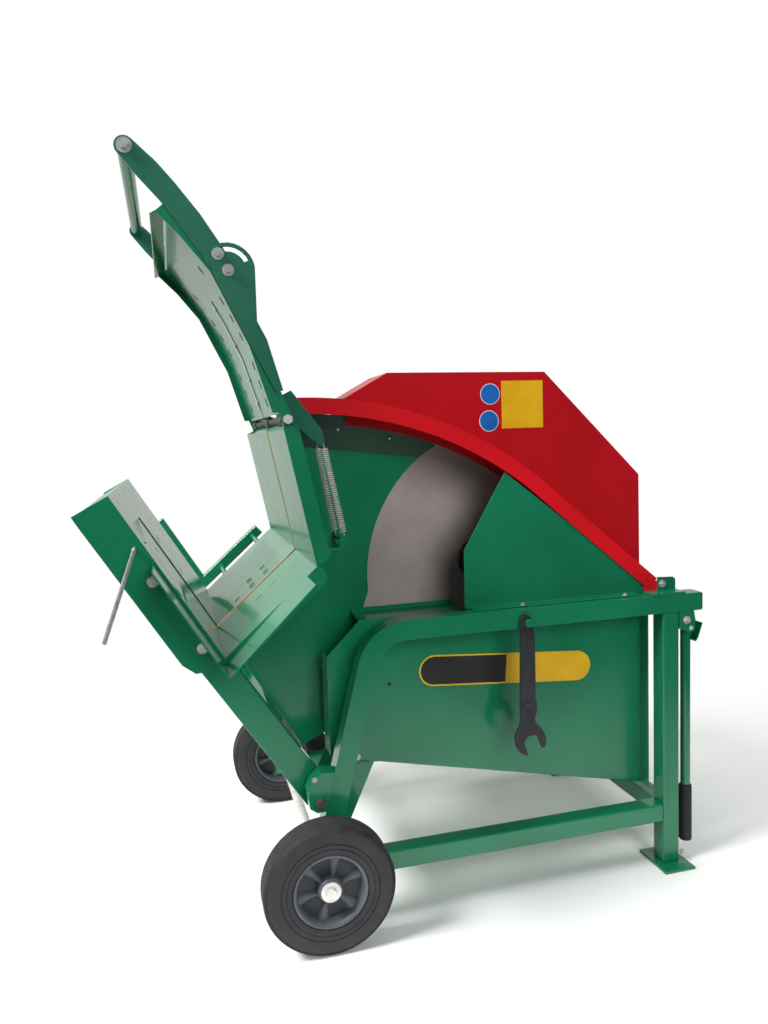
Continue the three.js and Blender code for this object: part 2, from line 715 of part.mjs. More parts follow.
// Arched guard
const ARCH_STEPS = 22;
const archEnd = THREE.MathUtils.degToRad(ARCH_END_ANGLE);
const tailWay = point(Math.sin(archEnd), -Math.cos(archEnd)).multiplyScalar(ARCH_TAIL);
const archLine = (r) => {
  const points = arc(PIVOT_X, PIVOT_Z, r, ARCH_START_ANGLE, ARCH_END_ANGLE, ARCH_STEPS);
  points.push(points[points.length - 1].clone().add(tailWay));
  return points;
};
const archWeb = [...archLine(ARCH_R), ...archLine(ARCH_R - SHEET).reverse()];
const archBand = [...archLine(ARCH_R), ...archLine(ARCH_R - ARCH_BAND).reverse()];
const archFoot = archLine(ARCH_R - ARCH_BAND / 2).pop();
const footLow = archFoot.x - BRACKET_W / 2;
const footHigh = archFoot.x + BRACKET_W / 2;
add('guard_arch', join(
  plate(archBand, TUBE, SHEET),
  plate(archWeb, TUBE, ARCH_BACK - TUBE - SEAT),
  box(footLow, footHigh, 0, TUBE + SHEET, seatZ, seatZ + SHEET),
  box(footLow, footHigh, TUBE, TUBE + SHEET, seatZ, TOP_Z + BRACKET_H),
), RED);

// Hood over the blade
const hoodRim = outline(HOOD_SHARES, HOOD_X, HOOD_Z + SEAT, HOOD_W, HOOD_H);
const hoodWall = [...hoodRim, ...outline(HOOD_MOUTH_SHARES, HOOD_X, HOOD_Z + SEAT, HOOD_W, HOOD_H)];
add('hood', join(
  plate(hoodWall, HOOD_Y, SHEET),
  plate(hoodWall, HOOD_FAR_Y - SHEET, SHEET),
  plate(strip(hoodRim, SHEET), HOOD_Y, HOOD_FAR_Y - HOOD_Y),
), RED);

// Blade with its flanges, nut and shaft
const blade = place(BLADE_X, BLADE_Y, BLADE_Z, saw);
const toothPoints = [];
for (let i = 0; i < TEETH; i += 1) {
  const step = 360 / TEETH;
  const at = -i * step;
  const tip = arc(BLADE_X, BLADE_Z, BLADE_R, at, at, 1)[0];
  const heel = arc(BLADE_X, BLADE_Z, BLADE_R - TOOTH_H / 5, at + step * 0.34, at, 1)[0];
  const root = arc(BLADE_X, BLADE_Z, BLADE_R - TOOTH_H, at + step * 0.62, at, 1)[0];
  const gullet = arc(BLADE_X, BLADE_Z, BLADE_R - TOOTH_H, at + step * 0.9, at, 1)[0];
  toothPoints.push(gullet, root, heel, tip);
}
const bladeBore = boreAt(BLADE_X, BLADE_Z, BORE_R + SEAT);
add('blade', plate(toothPoints, BLADE_Y - BLADE_T / 2, BLADE_T, [bladeBore]), STEEL, blade);
const flangeNear = BLADE_Y - BLADE_T / 2 - SEAT;
const flangeFar = BLADE_Y + BLADE_T / 2 + SEAT;
add('blade_hub', join(
  rodY(BLADE_X, BLADE_Z, BORE_R, SHAFT_END, SHAFT_END + SHAFT_L),
  rodY(BLADE_X, BLADE_Z, FLANGE_R, flangeNear - FLANGE_T, flangeNear, 36),
  rodY(BLADE_X, BLADE_Z, FLANGE_R, flangeFar, flangeFar + FLANGE_T, 36),
  rodY(BLADE_X, BLADE_Z, NUT_R, flangeNear - FLANGE_T - NUT_T, flangeNear - FLANGE_T + SHEET, 6),
), STEEL, blade);
const tubeFrom = BLADE_Y + SHAFT_TUBE_GAP;
const shaftBore = rodY(BLADE_X, BLADE_Z, BORE_R + RUN, tubeFrom - OVER, SHAFT_END + SHAFT_L + SHEET);
add('shaft_tube', cut(
  rodY(BLADE_X, BLADE_Z, SHAFT_TUBE_R, tubeFrom, HOUSING_FAR_Y + SHEET + 2 * SHEET, 28),
  shaftBore,
), GREEN);

// Belt guard and motor
const guardY = HOUSING_FAR_Y + 3 * SHEET + SEAT;
const guardWay = point(MOTOR_X - BLADE_X, MOTOR_Z - BLADE_Z);
const guardTurn = THREE.MathUtils.radToDeg(Math.atan2(guardWay.y, guardWay.x));
const guardOutline = [
  ...arc(BLADE_X, BLADE_Z, GUARD_R, guardTurn + 90, guardTurn + 270, 10),
  ...arc(MOTOR_X, MOTOR_Z, GUARD_R, guardTurn - 90, guardTurn + 90, 10),
];
const motorY = guardY + GUARD_T + SEAT;
add('belt_guard', plate(guardOutline, guardY, GUARD_T), DARK);
const motorPieces = [rodY(MOTOR_X, MOTOR_Z, MOTOR_R - FIN_H, motorY, motorY + MOTOR_L, 28)];
for (let i = 0; i < FIN_COUNT; i += 1) {
  const fin = box(MOTOR_R - 2 * FIN_H, MOTOR_R, MOTOR_L / 8, MOTOR_L * 0.72, -FIN_W / 2, FIN_W / 2);
  fin.rotateY((i * 2 * Math.PI) / FIN_COUNT);
  fin.translate(MOTOR_X, motorY, MOTOR_Z);
  motorPieces.push(fin);
}
motorPieces.push(rodY(MOTOR_X, MOTOR_Z, MOTOR_R, motorY + MOTOR_L * 0.76, motorY + MOTOR_L, 28));
motorPieces.push(rodY(MOTOR_X, MOTOR_Z, MOTOR_R, motorY, motorY + MOTOR_L / 10, 28));
add('motor', join(...motorPieces), DARK);

// Rocker
const rocker = place(PIVOT_X, 0, PIVOT_Z, saw);
const troughFar = TROUGH_Y + TROUGH_L;
const vCorner = point(V_X, V_Z);
const leftTop = point(V_X + LEFT_DX, V_Z + LEFT_DZ);
const floorFold = point(V_X + FLOOR_DX, V_Z + FLOOR_DZ);
const rightTop = point(floorFold.x + RIGHT_DX, floorFold.y + RIGHT_DZ);
const leftWay = leftTop.clone().sub(vCorner).normalize();
const floorWay = floorFold.clone().sub(vCorner).normalize();
const rightWay = rightTop.clone().sub(floorFold).normalize();
const leftBack = point(-leftWay.y, leftWay.x);
const floorBack = point(floorWay.y, -floorWay.x);
const rodAt = SUPPORT_ROD_SHARES.map((share) => (
  vCorner.clone()
    .add(floorWay.clone().multiplyScalar(share * floorFold.distanceTo(vCorner)))
    .add(floorBack.clone().multiplyScalar(SUPPORT_W / 2 + SHEET))
));
const flangeEdge = leftTop.clone().add(leftBack.clone().multiplyScalar(TOP_FLANGE));
const lipEdge = flangeEdge.clone().sub(leftWay.clone().multiplyScalar(TOP_LIP));
const troughPath = [lipEdge, flangeEdge, leftTop, vCorner, floorFold, rightTop];
const skirts = [
  outline(SKIRT_LEFT_SHARES, SKIRT_LEFT_X, SKIRT_Z, SKIRT_LEFT_W, SKIRT_LEFT_H),
  outline(SKIRT_FLOOR_SHARES, V_X, SKIRT_Z, SKIRT_FLOOR_W, SKIRT_FLOOR_H),
  outline(SKIRT_RIGHT_SHARES, rightTop.x, floorFold.y, SKIRT_RIGHT_W, SKIRT_RIGHT_H),
];
const slotTop = along(vCorner, leftWay, leftTop.distanceTo(vCorner) * SLOT_UP_SHARE);
const slotEdge = along(slotTop, leftBack, -SLOT_W);
const slotOut = 2 * OVER;
const slotPoints = [
  along(slotTop, leftBack, SLOT_W),
  along(vCorner, leftBack, SLOT_W).sub(point(0, slotOut)),
  point(floorFold.x + slotOut, vCorner.y - slotOut),
  point(floorFold.x + slotOut, rightTop.y + slotOut),
  point(rightTop.x - SLOT_W, rightTop.y + slotOut),
  slotEdge,
];
const stopAt = along(along(vCorner, leftWay, STOP_UP), leftBack, STOP_BACK);
const earY = TROUGH_Y + SHEET + SEAT;
const earFoot = (s) => along(rightTop, rightWay, -s);
const ear = [
  ...arc(HINGE_X, HINGE_Z, HINGE_EYE, -60, 150, 8),
  rightTop.clone(),
  earFoot(HINGE_EYE * 3),
  earFoot(HINGE_EYE * 3).add(point(SHEET, 0)),
];
const holdFarY = TROUGH_Y + HOLD_L;
const farEarY = holdFarY - SHEET - SEAT - SHEET * 2;
const stopGuide = box(-STOP_BACK + SHEET / 2, GUIDE_W / 2, 0, GUIDE_T, -GUIDE_W / 2, GUIDE_W / 2);
stopGuide.rotateY(-Math.atan2(leftWay.x, leftWay.y) + Math.PI);
stopGuide.translate(stopAt.x, 0, stopAt.y);
add('trough', cut(
  join(
    plate(strip(troughPath, SHEET), TROUGH_Y, TROUGH_L),
    ...skirts.map((points) => plate(points, TROUGH_Y, SHEET)),
    ...skirts.map((points) => plate(points, troughFar - SHEET, SHEET)),
    plate(ear, earY, SHEET * 2),
    plate(ear, farEarY, SHEET * 2),
    stopGuide,
  ),
  plate(slotPoints, BLADE_Y - SLOT_W / 2, SLOT_W),
  rodY(stopAt.x, stopAt.y, STOP_R + RUN, TROUGH_Y - OVER, GUIDE_T + OVER),
  rodY(HINGE_X, HINGE_Z, HINGE_R + SEAT, TROUGH_Y, holdFarY),
  ...rodAt.map((p) => rodY(p.x, p.y, SUPPORT_ROD_R + RUN, troughFar - OVER, troughFar + OVER, 14)),
), GREEN, rocker);

// Ledge before the trough
const ledgeX = V_X - LEDGE_W * LEDGE_SHARES[1][0];
const ledgeZ = V_Z - LEDGE_DROP;
const ledgePath = outline(LEDGE_SHARES, ledgeX, ledgeZ, LEDGE_W, LEDGE_H);
const ledgeBack = TROUGH_Y - SEAT;
const ledgeFoot = V_Z - LEDGE_FOOT_DROP;
const ledgeLeftX = V_X + LEDGE_LEFT_DX;
const ledgeLeftZ = ledgeFoot + LEDGE_LEFT_LIFT;
const ledgeLeft = outline(LEDGE_LEFT_SHARES, ledgeLeftX, ledgeLeftZ, LEDGE_LEFT_W, LEDGE_LEFT_H);
const ledgeRight = outline(LEDGE_RIGHT_SHARES, V_X, ledgeFoot, LEDGE_RIGHT_W, LEDGE_RIGHT_H);
add('v_ledge', join(
  plate(strip(ledgePath, SHEET), ledgeBack - LEDGE_L, LEDGE_L),
  plate(ledgeLeft, ledgeBack - SHEET, SHEET),
  plate(ledgeRight, ledgeBack - SHEET, SHEET),
), GREEN, rocker);

// Rocker arms and their cross tube
const armFace = along(vCorner, leftBack, SHEET + SEAT);
const armTopRight = along(armFace, leftWay, ARM_UP);
const armTopLeft = along(armTopRight, leftBack, ARM_W);
const toV = armFace.clone().sub(point(PIVOT_X, PIVOT_Z));
const armTurn = THREE.MathUtils.radToDeg(Math.atan2(toV.y, toV.x));
const armOutline = [
  armTopRight,
  armTopLeft,
  armFace.clone().add(leftBack.clone().multiplyScalar(ARM_W)),
  ...arc(PIVOT_X, PIVOT_Z, ARM_W / 2, armTurn + 85, armTurn + 275, 10),
  armFace,
];
const pivotBore = boreAt(PIVOT_X, PIVOT_Z, AXLE_R + RUN);
const armY = [TUBE + SHEET, FAR_Y - SHEET - ARM_T];
armY.forEach((y, i) => {
  add(`arm_${sideNames[i]}`, plate(armOutline, y, ARM_T, [pivotBore]), GREEN, rocker);
});
const crossMid = along(point(PIVOT_X, PIVOT_Z), toV.clone().normalize(), CROSS_UP);
const crossAt = along(crossMid, leftBack, CROSS_W / 2);
add('cross_tube', box(
  crossAt.x - CROSS_W / 2,
  crossAt.x + CROSS_W / 2,
  armY[0] + ARM_T + SEAT,
  armY[1] - SEAT,
  crossAt.y - CROSS_W / 2,
  crossAt.y + CROSS_W / 2,
), GREEN, rocker);

// Wing plates
const rightBack = point(rightWay.y, -rightWay.x);
const under = SHEET + SEAT;
const wingTopZ = rightTop.y - WING_TOP_DROP;
const wingOutline = [
  ...arc(WING_CX, WING_CZ, WING_R, WING_TO_ANGLE, WING_FROM_ANGLE, 12),
  ...outline(WING_LOWER_SHARES, WING_X, WING_Z, WING_W, WING_H),
  along(along(vCorner, floorWay, ARM_W / 2), floorBack, under),
  along(along(floorFold, floorBack, under), rightBack, SHEET),
  along(along(floorFold, rightBack, under), rightWay, SHEET),
  along(along(rightTop, rightBack, under), rightWay, -SHEET),
  ...outline(WING_TOP_SHARES, rightTop.x, wingTopZ, WING_TOP_W, WING_TOP_H),
];
// Their upper panels lean away from the blade
const foldWay = arc(0, 0, 1, WING_FOLD_ANGLE, WING_FOLD_ANGLE, 1)[0];
const foldUp = point(-foldWay.y, foldWay.x);
const foldMid = point(WING_FOLD_X, WING_FOLD_Z);
const foldFar = 3 * (WING_W + WING_H);
const foldLeft = along(foldMid, foldWay, -foldFar);
const foldRight = along(foldMid, foldWay, foldFar);
const foldSide = (way) => [
  foldLeft,
  foldRight,
  along(foldRight, foldUp, way * foldFar),
  along(foldLeft, foldUp, way * foldFar),
];
[WING_Y, WING_FAR_Y].forEach((y, i) => {
  const whole = plate(wingOutline, y, SHEET);
  const upper = cut(whole, plate(foldSide(-1), y - SHEET, 3 * SHEET));
  const lean = (i === 0 ? -1 : 1) * Math.tan(THREE.MathUtils.degToRad(WING_LEAN_ANGLE));
  const corners = upper.attributes.position;
  for (let k = 0; k < corners.count; k += 1) {
    const rise = point(corners.getX(k), corners.getZ(k)).sub(foldMid).dot(foldUp);
    corners.setY(k, corners.getY(k) + lean * Math.max(rise, 0));
  }
  const lower = cut(whole, plate(foldSide(1), y - SHEET, 3 * SHEET));
  add(`wing_${sideNames[i]}`, join(upper, lower), GREEN, rocker);
});

// Log support behind the trough
const supportY = troughFar + SUPPORT_GAP;
const supportPath = [
  along(vCorner, leftWay, SUPPORT_LEFT),
  vCorner,
  along(vCorner, floorWay, SUPPORT_RIGHT),
];
add('log_support', join(
  plate(strip(supportPath, SUPPORT_W), supportY, SUPPORT_W),
  ...rodAt.map((p) => rodY(p.x, p.y, SUPPORT_ROD_R, supportY - SUPPORT_ROD_L, supportY + SHEET, 14)),
), GREEN, rocker);
const guideTilt = Math.atan2(floorWay.y, floorWay.x);
const guidePieces = rodAt.map((p) => {
  const high = SUPPORT_W / 2 - SEAT;
  const back = troughFar - SHEET * 3;
  const block = box(-GUIDE_W / 2, GUIDE_W / 2, back - GUIDE_T, back, -GUIDE_W / 2, high);
  block.rotateY(-guideTilt);
  block.translate(p.x, 0, p.y);
  return cut(block, rodY(p.x, p.y, SUPPORT_ROD_R + RUN, FAR_Y, supportY, 14));
});
guidePieces.forEach((piece, i) => {
  add(`support_guide_${i + 1}`, piece, GREEN, rocker);
});

// Length stop
const stopTurn = new THREE.Vector3(STOP_TURN_DX, 0, STOP_TURN_DZ);
const stopNear = TROUGH_Y - STOP_OUT;
const stopEnd = new THREE.Vector3(stopAt.x, stopNear, stopAt.y).add(stopTurn.setLength(STOP_LEG));
add('length_stop', join(
  rodY(stopAt.x, stopAt.y, STOP_R, stopNear, stopNear + STOP_L, 12),
  rod(new THREE.Vector3(stopAt.x, stopNear, stopAt.y), stopEnd, STOP_R),
  new THREE.SphereGeometry(STOP_R, 12, 8).translate(stopAt.x, stopNear, stopAt.y),
), ZINC, rocker);

// Hold-down
const holdDown = place(HINGE_X, 0, HINGE_Z, rocker);
const holdPath = outline(HOLD_OUTER_SHARES, HOLD_X, HOLD_Z, HOLD_W, HOLD_H);
const holdInner = outline(HOLD_INNER_SHARES, HOLD_X, HOLD_Z, HOLD_W, HOLD_H);
const holdFlange = [...holdPath, ...holdInner];
const eyeBar = [
  ...arc(HINGE_X, HINGE_Z, HINGE_EYE, -150, 10, 8),
  holdPath[holdPath.length - 2],
  holdInner[1],
];
const holdSlotTop = HOLD_Z + HOLD_H * HOLD_SLOT_UP_SHARE;
const holdSlotEnd = HOLD_X + HOLD_W + SLOT_W;
add('hold_down', cut(
  join(
    plate(strip([...holdPath].reverse(), -SHEET), TROUGH_Y, HOLD_L),
    plate(holdFlange, TROUGH_Y, SHEET),
    plate(holdFlange, holdFarY - SHEET, SHEET),
    plate(eyeBar, TROUGH_Y, SHEET),
    plate(eyeBar, holdFarY - SHEET, SHEET),
  ),
  box(HOLD_X, holdSlotEnd, BLADE_Y - SLOT_W / 2, BLADE_Y + SLOT_W / 2, HOLD_Z - SLOT_W, holdSlotTop),
  rodY(HINGE_X, HINGE_Z, HINGE_R + SEAT, TROUGH_Y - OVER, holdFarY + OVER),
), GREEN, holdDown);
const pinOut = SHEET * 2;
add('hinge_pin_near', join(
  rodY(HINGE_X, HINGE_Z, HINGE_R, TROUGH_Y - pinOut, TROUGH_Y + PIN_IN),
  rodY(HINGE_X, HINGE_Z, HINGE_R * 1.8, TROUGH_Y - pinOut, TROUGH_Y - SEAT, 6),
), ZINC, rocker);
add('hinge_pin_far', join(
  rodY(HINGE_X, HINGE_Z, HINGE_R, holdFarY - PIN_IN, holdFarY + pinOut),
  rodY(HINGE_X, HINGE_Z, HINGE_R * 1.8, holdFarY + SEAT, holdFarY + pinOut, 6),
), ZINC, rocker);

// Adjusting plates, arms and handle of the hold-down
const adjustOutline = outline(ADJUST_SHARES, ADJUST_X, ADJUST_Z, ADJUST_W, ADJUST_H);
const armPlate = outline(HOLD_ARM_SHARES, HOLD_ARM_X, HOLD_ARM_Z, HOLD_ARM_W, HOLD_ARM_H);
const slotArc = (r, from, to) => arc(ADJUST_BOLT_X, ADJUST_BOLT_Z, r, from, to, 9);
const adjustSlot = [
  ...slotArc(ADJUST_SLOT_R + ADJUST_SLOT_W / 2, ADJUST_SLOT_FROM_ANGLE, ADJUST_SLOT_TO_ANGLE),
  ...slotArc(ADJUST_SLOT_R - ADJUST_SLOT_W / 2, ADJUST_SLOT_TO_ANGLE, ADJUST_SLOT_FROM_ANGLE),
];
const holdArmY = [TROUGH_Y - SEAT - HOLD_ARM_T, holdFarY + SEAT];
const adjustY = [holdArmY[0] - SEAT - SHEET, holdArmY[1] + HOLD_ARM_T + SEAT];
sideNames.forEach((side, i) => {
  add(`adjust_plate_${side}`, plate(adjustOutline, adjustY[i], SHEET, [adjustSlot]), GREEN, holdDown);
  add(`hold_arm_${side}`, plate(armPlate, holdArmY[i], HOLD_ARM_T), GREEN, holdDown);
});
const handleNear = holdArmY[0] + HOLD_ARM_T + SEAT;
add('hold_handle', rodY(HANDLE_X, HANDLE_Z, HANDLE_R, handleNear, holdArmY[1] - SEAT, 18), GREEN, holdDown);

// Deflector
const deflectorPath = [
  point(DEFLECTOR_X + DEFLECTOR_W, DEFLECTOR_Z + DEFLECTOR_H),
  point(DEFLECTOR_X, DEFLECTOR_Z),
];
const deflectorY = TROUGH_Y + SHEET + SEAT;
const deflectorL = HOLD_L - 2 * SHEET - 2 * SEAT;
add('deflector', plate(strip(deflectorPath, -SHEET), deflectorY, deflectorL), GREEN, holdDown);

// Lever with the upper spring pin
const leverOutline = outline(LEVER_SHARES, LEVER_X, LEVER_Z, LEVER_W, LEVER_H);
add('spring_lever', join(
  plate(leverOutline, LEVER_Y, LEVER_T),
  rodY(SPRING_X, SPRING_Z, SPRING_PIN_R, LEVER_Y, LEVER_Y + SPRING_PIN_L, 12),
), GREEN, holdDown);

// Lower spring anchor on the right wall
const anchorY = [SPRING_FIRST_Y, SPRING_SECOND_Y];
const anchorX = SPRING_END_X;
const anchorZ = SPRING_END_Z;
const wallAt = (z) => rightTop.x + ((rightTop.y - z) * -RIGHT_DX) / RIGHT_DZ + under / rightWay.y;
const anchorFrom = anchorY[0] - SPRING_R * 2;
const anchorTo = anchorY[1] + SPRING_R * 2;
const anchorLow = anchorZ - SPRING_R * 2;
add('spring_anchor', join(
  plate([
    point(wallAt(anchorLow), anchorLow),
    point(anchorX, anchorLow),
    point(anchorX, anchorLow + ANCHOR_T),
    point(wallAt(anchorLow + ANCHOR_T), anchorLow + ANCHOR_T),
  ], anchorFrom, anchorTo - anchorFrom),
  plate(boreAt(anchorX, anchorZ, SPRING_R), anchorFrom, ANCHOR_T),
  box(anchorX - SPRING_R, anchorX, anchorFrom, anchorFrom + ANCHOR_T, anchorLow, anchorZ),
  plate(boreAt(anchorX, anchorZ, SPRING_R), anchorTo - ANCHOR_T, ANCHOR_T),
  box(anchorX - SPRING_R, anchorX, anchorTo - ANCHOR_T, anchorTo, anchorLow, anchorZ),
  rodY(anchorX, anchorZ, SPRING_PIN_R, anchorFrom, anchorTo, 12),
), GREEN, rocker);

// Tension springs, each one wire with straight ends
function wireTube(points, radius, sides) {
  const positions = [];
  const index = [];
  let normal = null;
  points.forEach((p, i) => {
    const before = points[Math.max(i - 1, 0)];
    const after = points[Math.min(i + 1, points.length - 1)];
    const way = after.clone().sub(before).normalize();
    if (!normal) {
      normal = new THREE.Vector3(0, 1, 0).cross(way).normalize();
    }
    normal.sub(way.clone().multiplyScalar(normal.dot(way))).normalize();
    const side = way.clone().cross(normal);
    for (let k = 0; k < sides; k += 1) {
      const angle = (k * 2 * Math.PI) / sides;
      const v = p.clone()
        .add(normal.clone().multiplyScalar(radius * Math.cos(angle)))
        .add(side.clone().multiplyScalar(radius * Math.sin(angle)));
      positions.push(v.x, v.y, v.z);
    }
  });
  for (let i = 0; i < points.length - 1; i += 1) {
    for (let k = 0; k < sides; k += 1) {
      const a = i * sides + k;
      const b = i * sides + ((k + 1) % sides);
      index.push(a, b, a + sides, b, b + sides, a + sides);
    }
  }
  const last = (points.length - 1) * sides;
  for (let k = 1; k < sides - 1; k += 1) {
    index.push(0, k + 1, k, last, last + k, last + k + 1);
  }
  const geometry = new THREE.BufferGeometry();
  geometry.setAttribute('position', new THREE.Float32BufferAttribute(positions, 3));
  geometry.setIndex(index);
  return geometry;
}

function springLine(y) {
  const top = new THREE.Vector3(SPRING_X, y, SPRING_Z);
  const low = new THREE.Vector3(anchorX, y, anchorZ);
  const way = low.clone().sub(top);
  const length = way.length();
  way.normalize();
  const across = new THREE.Vector3(0, 1, 0);
  const out = across.clone().cross(way);
  const at = (s, angle, r) => top.clone()
    .add(way.clone().multiplyScalar(s))
    .add(out.clone().multiplyScalar(r * Math.cos(angle)))
    .add(across.clone().multiplyScalar(r * Math.sin(angle)));
  const gap = SPRING_PIN_R + SEAT;
  const wire = SPRING_WIRE_R * 2;
  const points = [at(gap, 0, 0), at(gap + wire, 0, 0), at((gap + wire + SPRING_NECK) / 2, 0, SPRING_R / 3)];
  const steps = SPRING_CURLS * CURL_STEPS;
  for (let i = 0; i <= steps; i += 1) {
    const share = i / steps;
    const lengthwise = SPRING_NECK + (length - 2 * SPRING_NECK) * share;
    points.push(at(lengthwise, (i * 2 * Math.PI) / CURL_STEPS, SPRING_R));
  }
  points.push(at(length - (gap + wire + SPRING_NECK) / 2, 0, SPRING_R / 3));
  points.push(at(length - gap - wire, 0, 0), at(length - gap, 0, 0));
  return points;
}

function leastGap(points) {
  let least = Infinity;
  for (let i = 0; i < points.length; i += 1) {
    for (let j = i + CURL_STEPS / 2; j < points.length; j += 1) {
      least = Math.min(least, points[i].distanceTo(points[j]));
    }
  }
  return least - 2 * SPRING_WIRE_R;
}

anchorY.forEach((y, i) => {
  const line = springLine(y);
  console.log(`spring ${i + 1} least gap ${leastGap(line).toFixed(2)} mm`);
  add(`spring_${i + 1}`, wireTube(line, SPRING_WIRE_R, WIRE_SIDES), ZINC, holdDown);
});

// Push handles under the rail ends
const cheekX = PUSH_X - CHEEK_W / 2;
sideY.forEach((y, i) => {
  const side = sideNames[i];
  const cheekTop = TOP_Z - TUBE - SEAT;
  const cheekLow = PUSH_Z - CHEEK_W / 2;
  const mid = y + TUBE / 2;
  const nearCheek = mid - CHEEK_GAP - CHEEK_T;
  add(`handle_bracket_${side}`, join(
    box(cheekX, cheekX + CHEEK_W, nearCheek, nearCheek + CHEEK_T, cheekLow, cheekTop),
    box(cheekX, cheekX + CHEEK_W, mid + CHEEK_GAP, mid + CHEEK_GAP + CHEEK_T, cheekLow, cheekTop),
    box(cheekX, cheekX + CHEEK_W, nearCheek, mid + CHEEK_GAP + CHEEK_T, cheekTop - CHEEK_T, cheekTop),
    rodY(PUSH_X, PUSH_Z, SPRING_PIN_R, nearCheek - CHEEK_T, mid + CHEEK_GAP + 2 * CHEEK_T, 14),
  ), GREEN);
  const handle = place(PUSH_X, mid, PUSH_Z, saw);
  const eyeT = CHEEK_GAP - RUN;
  const tubeLow = PUSH_Z - PUSH_L - GRIP_L;
  add(`push_handle_${side}`, cut(
    join(
      rodY(PUSH_X, PUSH_Z, PUSH_R * 1.3, mid - eyeT, mid + eyeT, 20),
      rodZ(PUSH_X, mid, PUSH_R, tubeLow, PUSH_Z, 20),
      rodZ(PUSH_X, mid, GRIP_R, tubeLow, tubeLow + GRIP_L, 20),
    ),
    rodY(PUSH_X, PUSH_Z, SPRING_PIN_R + RUN, mid - 2 * eyeT, mid + 2 * eyeT, 14),
  ), DARK, handle);
});

// Wrench on its peg
const wrenchY = -WRENCH_GAP - WRENCH_T;
const wrench = place(PEG_X, wrenchY, PEG_Z, saw);
const hex = arc(RING_X, RING_Z, RING_HEX_R, 0, 360 - 60, 5);
const wrenchOutline = outline(WRENCH_SHARES, WRENCH_X, WRENCH_Z, WRENCH_W, WRENCH_H);
add('wrench', plate(wrenchOutline, wrenchY, WRENCH_T, [hex]), DARK, wrench);
add('wrench_peg', join(
  rodY(PEG_X, PEG_Z, PEG_R, wrenchY - WRENCH_GAP, -SEAT, 14),
  rodY(PEG_X, PEG_Z, PEG_HEAD_R, wrenchY - WRENCH_GAP, wrenchY - RUN, 14),
), GREEN);

// The origin lies under the middle of the whole
const whole = new THREE.Box3().setFromObject(saw);
const middle = whole.getCenter(new THREE.Vector3());
saw.position.set(-middle.x, -middle.y, -whole.min.z);

export default saw;
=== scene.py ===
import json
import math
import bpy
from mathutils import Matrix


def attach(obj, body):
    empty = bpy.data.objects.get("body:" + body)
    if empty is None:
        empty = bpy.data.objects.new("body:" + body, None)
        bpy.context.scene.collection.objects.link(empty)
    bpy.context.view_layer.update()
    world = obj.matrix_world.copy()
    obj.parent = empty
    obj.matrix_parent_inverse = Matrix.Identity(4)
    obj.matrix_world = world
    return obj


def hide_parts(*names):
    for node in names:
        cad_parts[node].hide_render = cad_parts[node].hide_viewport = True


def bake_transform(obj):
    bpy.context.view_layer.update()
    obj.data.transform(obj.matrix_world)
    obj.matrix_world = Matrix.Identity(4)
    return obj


bl_info = {
    "name": "Firewood Rocker Saw",
    "version": (1, 0, 0),
    "blender": (4, 5, 0),
    "location": "View3D > Sidebar > Rocker Saw",
    "description": "Dresses a firewood saw with a rocking log trough",
    "category": "Object",
}

import bmesh
import bpy
from bpy.props import FloatProperty, IntProperty, PointerProperty
from mathutils import Matrix, Vector

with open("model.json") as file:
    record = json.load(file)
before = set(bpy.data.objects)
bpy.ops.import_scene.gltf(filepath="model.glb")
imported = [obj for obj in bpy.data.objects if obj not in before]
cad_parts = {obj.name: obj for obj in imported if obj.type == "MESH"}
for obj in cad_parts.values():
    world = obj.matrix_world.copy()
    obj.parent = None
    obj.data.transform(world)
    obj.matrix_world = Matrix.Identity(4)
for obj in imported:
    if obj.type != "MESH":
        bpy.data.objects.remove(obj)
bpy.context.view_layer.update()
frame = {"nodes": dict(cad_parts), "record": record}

# Places are written in millimetres of the drawing, whose origin is at the front left of the frame
DRAWING_X = 486.45
DRAWING_Y = 380.85
WHEEL_X, WHEEL_Z = 257, 130
WHEEL_Y = {"near": -55, "far": 638}
HINGE = (219, 1031)
PIVOT = (258, 272)
PUSH_X, PUSH_Z = 1108, 545
PUSH_Y = {"near": 20, "far": 563}
BLADE_MIDDLE = (681, 205, 705)
FRAME_NEAR, FRAME_FAR = 0, 543
HOUSING_FACE = 77.8


def at(x, y, z):
    """A drawing place, in metres of the frame."""
    return Vector(((x - DRAWING_X) / 1000, (y - DRAWING_Y) / 1000, z / 1000))


def mm(value):
    return value / 1000


def around(radius, angle):
    """A place on a circle about zero."""
    return radius * math.cos(angle), radius * math.sin(angle)


def linear(hex_colour):
    """An sRGB hex colour as linear RGBA."""
    values = [int(hex_colour[i:i + 2], 16) / 255 for i in (0, 2, 4)]
    rgb = [v / 12.92 if v <= 0.04045 else ((v + 0.055) / 1.055) ** 2.4 for v in values]
    return (*rgb, 1.0)


MATERIALS = {}

# Material nodes


def add(tree, kind, links=None, **settings):
    """Adds a node, with its settings, its input values and its links."""
    item = tree.nodes.new(kind)
    for name, value in settings.items():
        setattr(item, name, value)
    for key, value in (links or {}).items():
        socket = item.inputs[key]
        if isinstance(value, bpy.types.NodeSocket):
            tree.links.new(value, socket)
        else:
            socket.default_value = value
    return item


def new_material(name):
    material = bpy.data.materials.new(name)
    material.use_nodes = True
    material.node_tree.nodes.clear()
    return material, material.node_tree


def shader_out(tree, surface):
    add(tree, "ShaderNodeOutputMaterial", {"Surface": surface})


def surfaced(material, values):
    """Ends a material in a Principled surface with these inputs."""
    tree = material.node_tree
    shader_out(tree, add(tree, "ShaderNodeBsdfPrincipled", values).outputs["BSDF"])
    return material


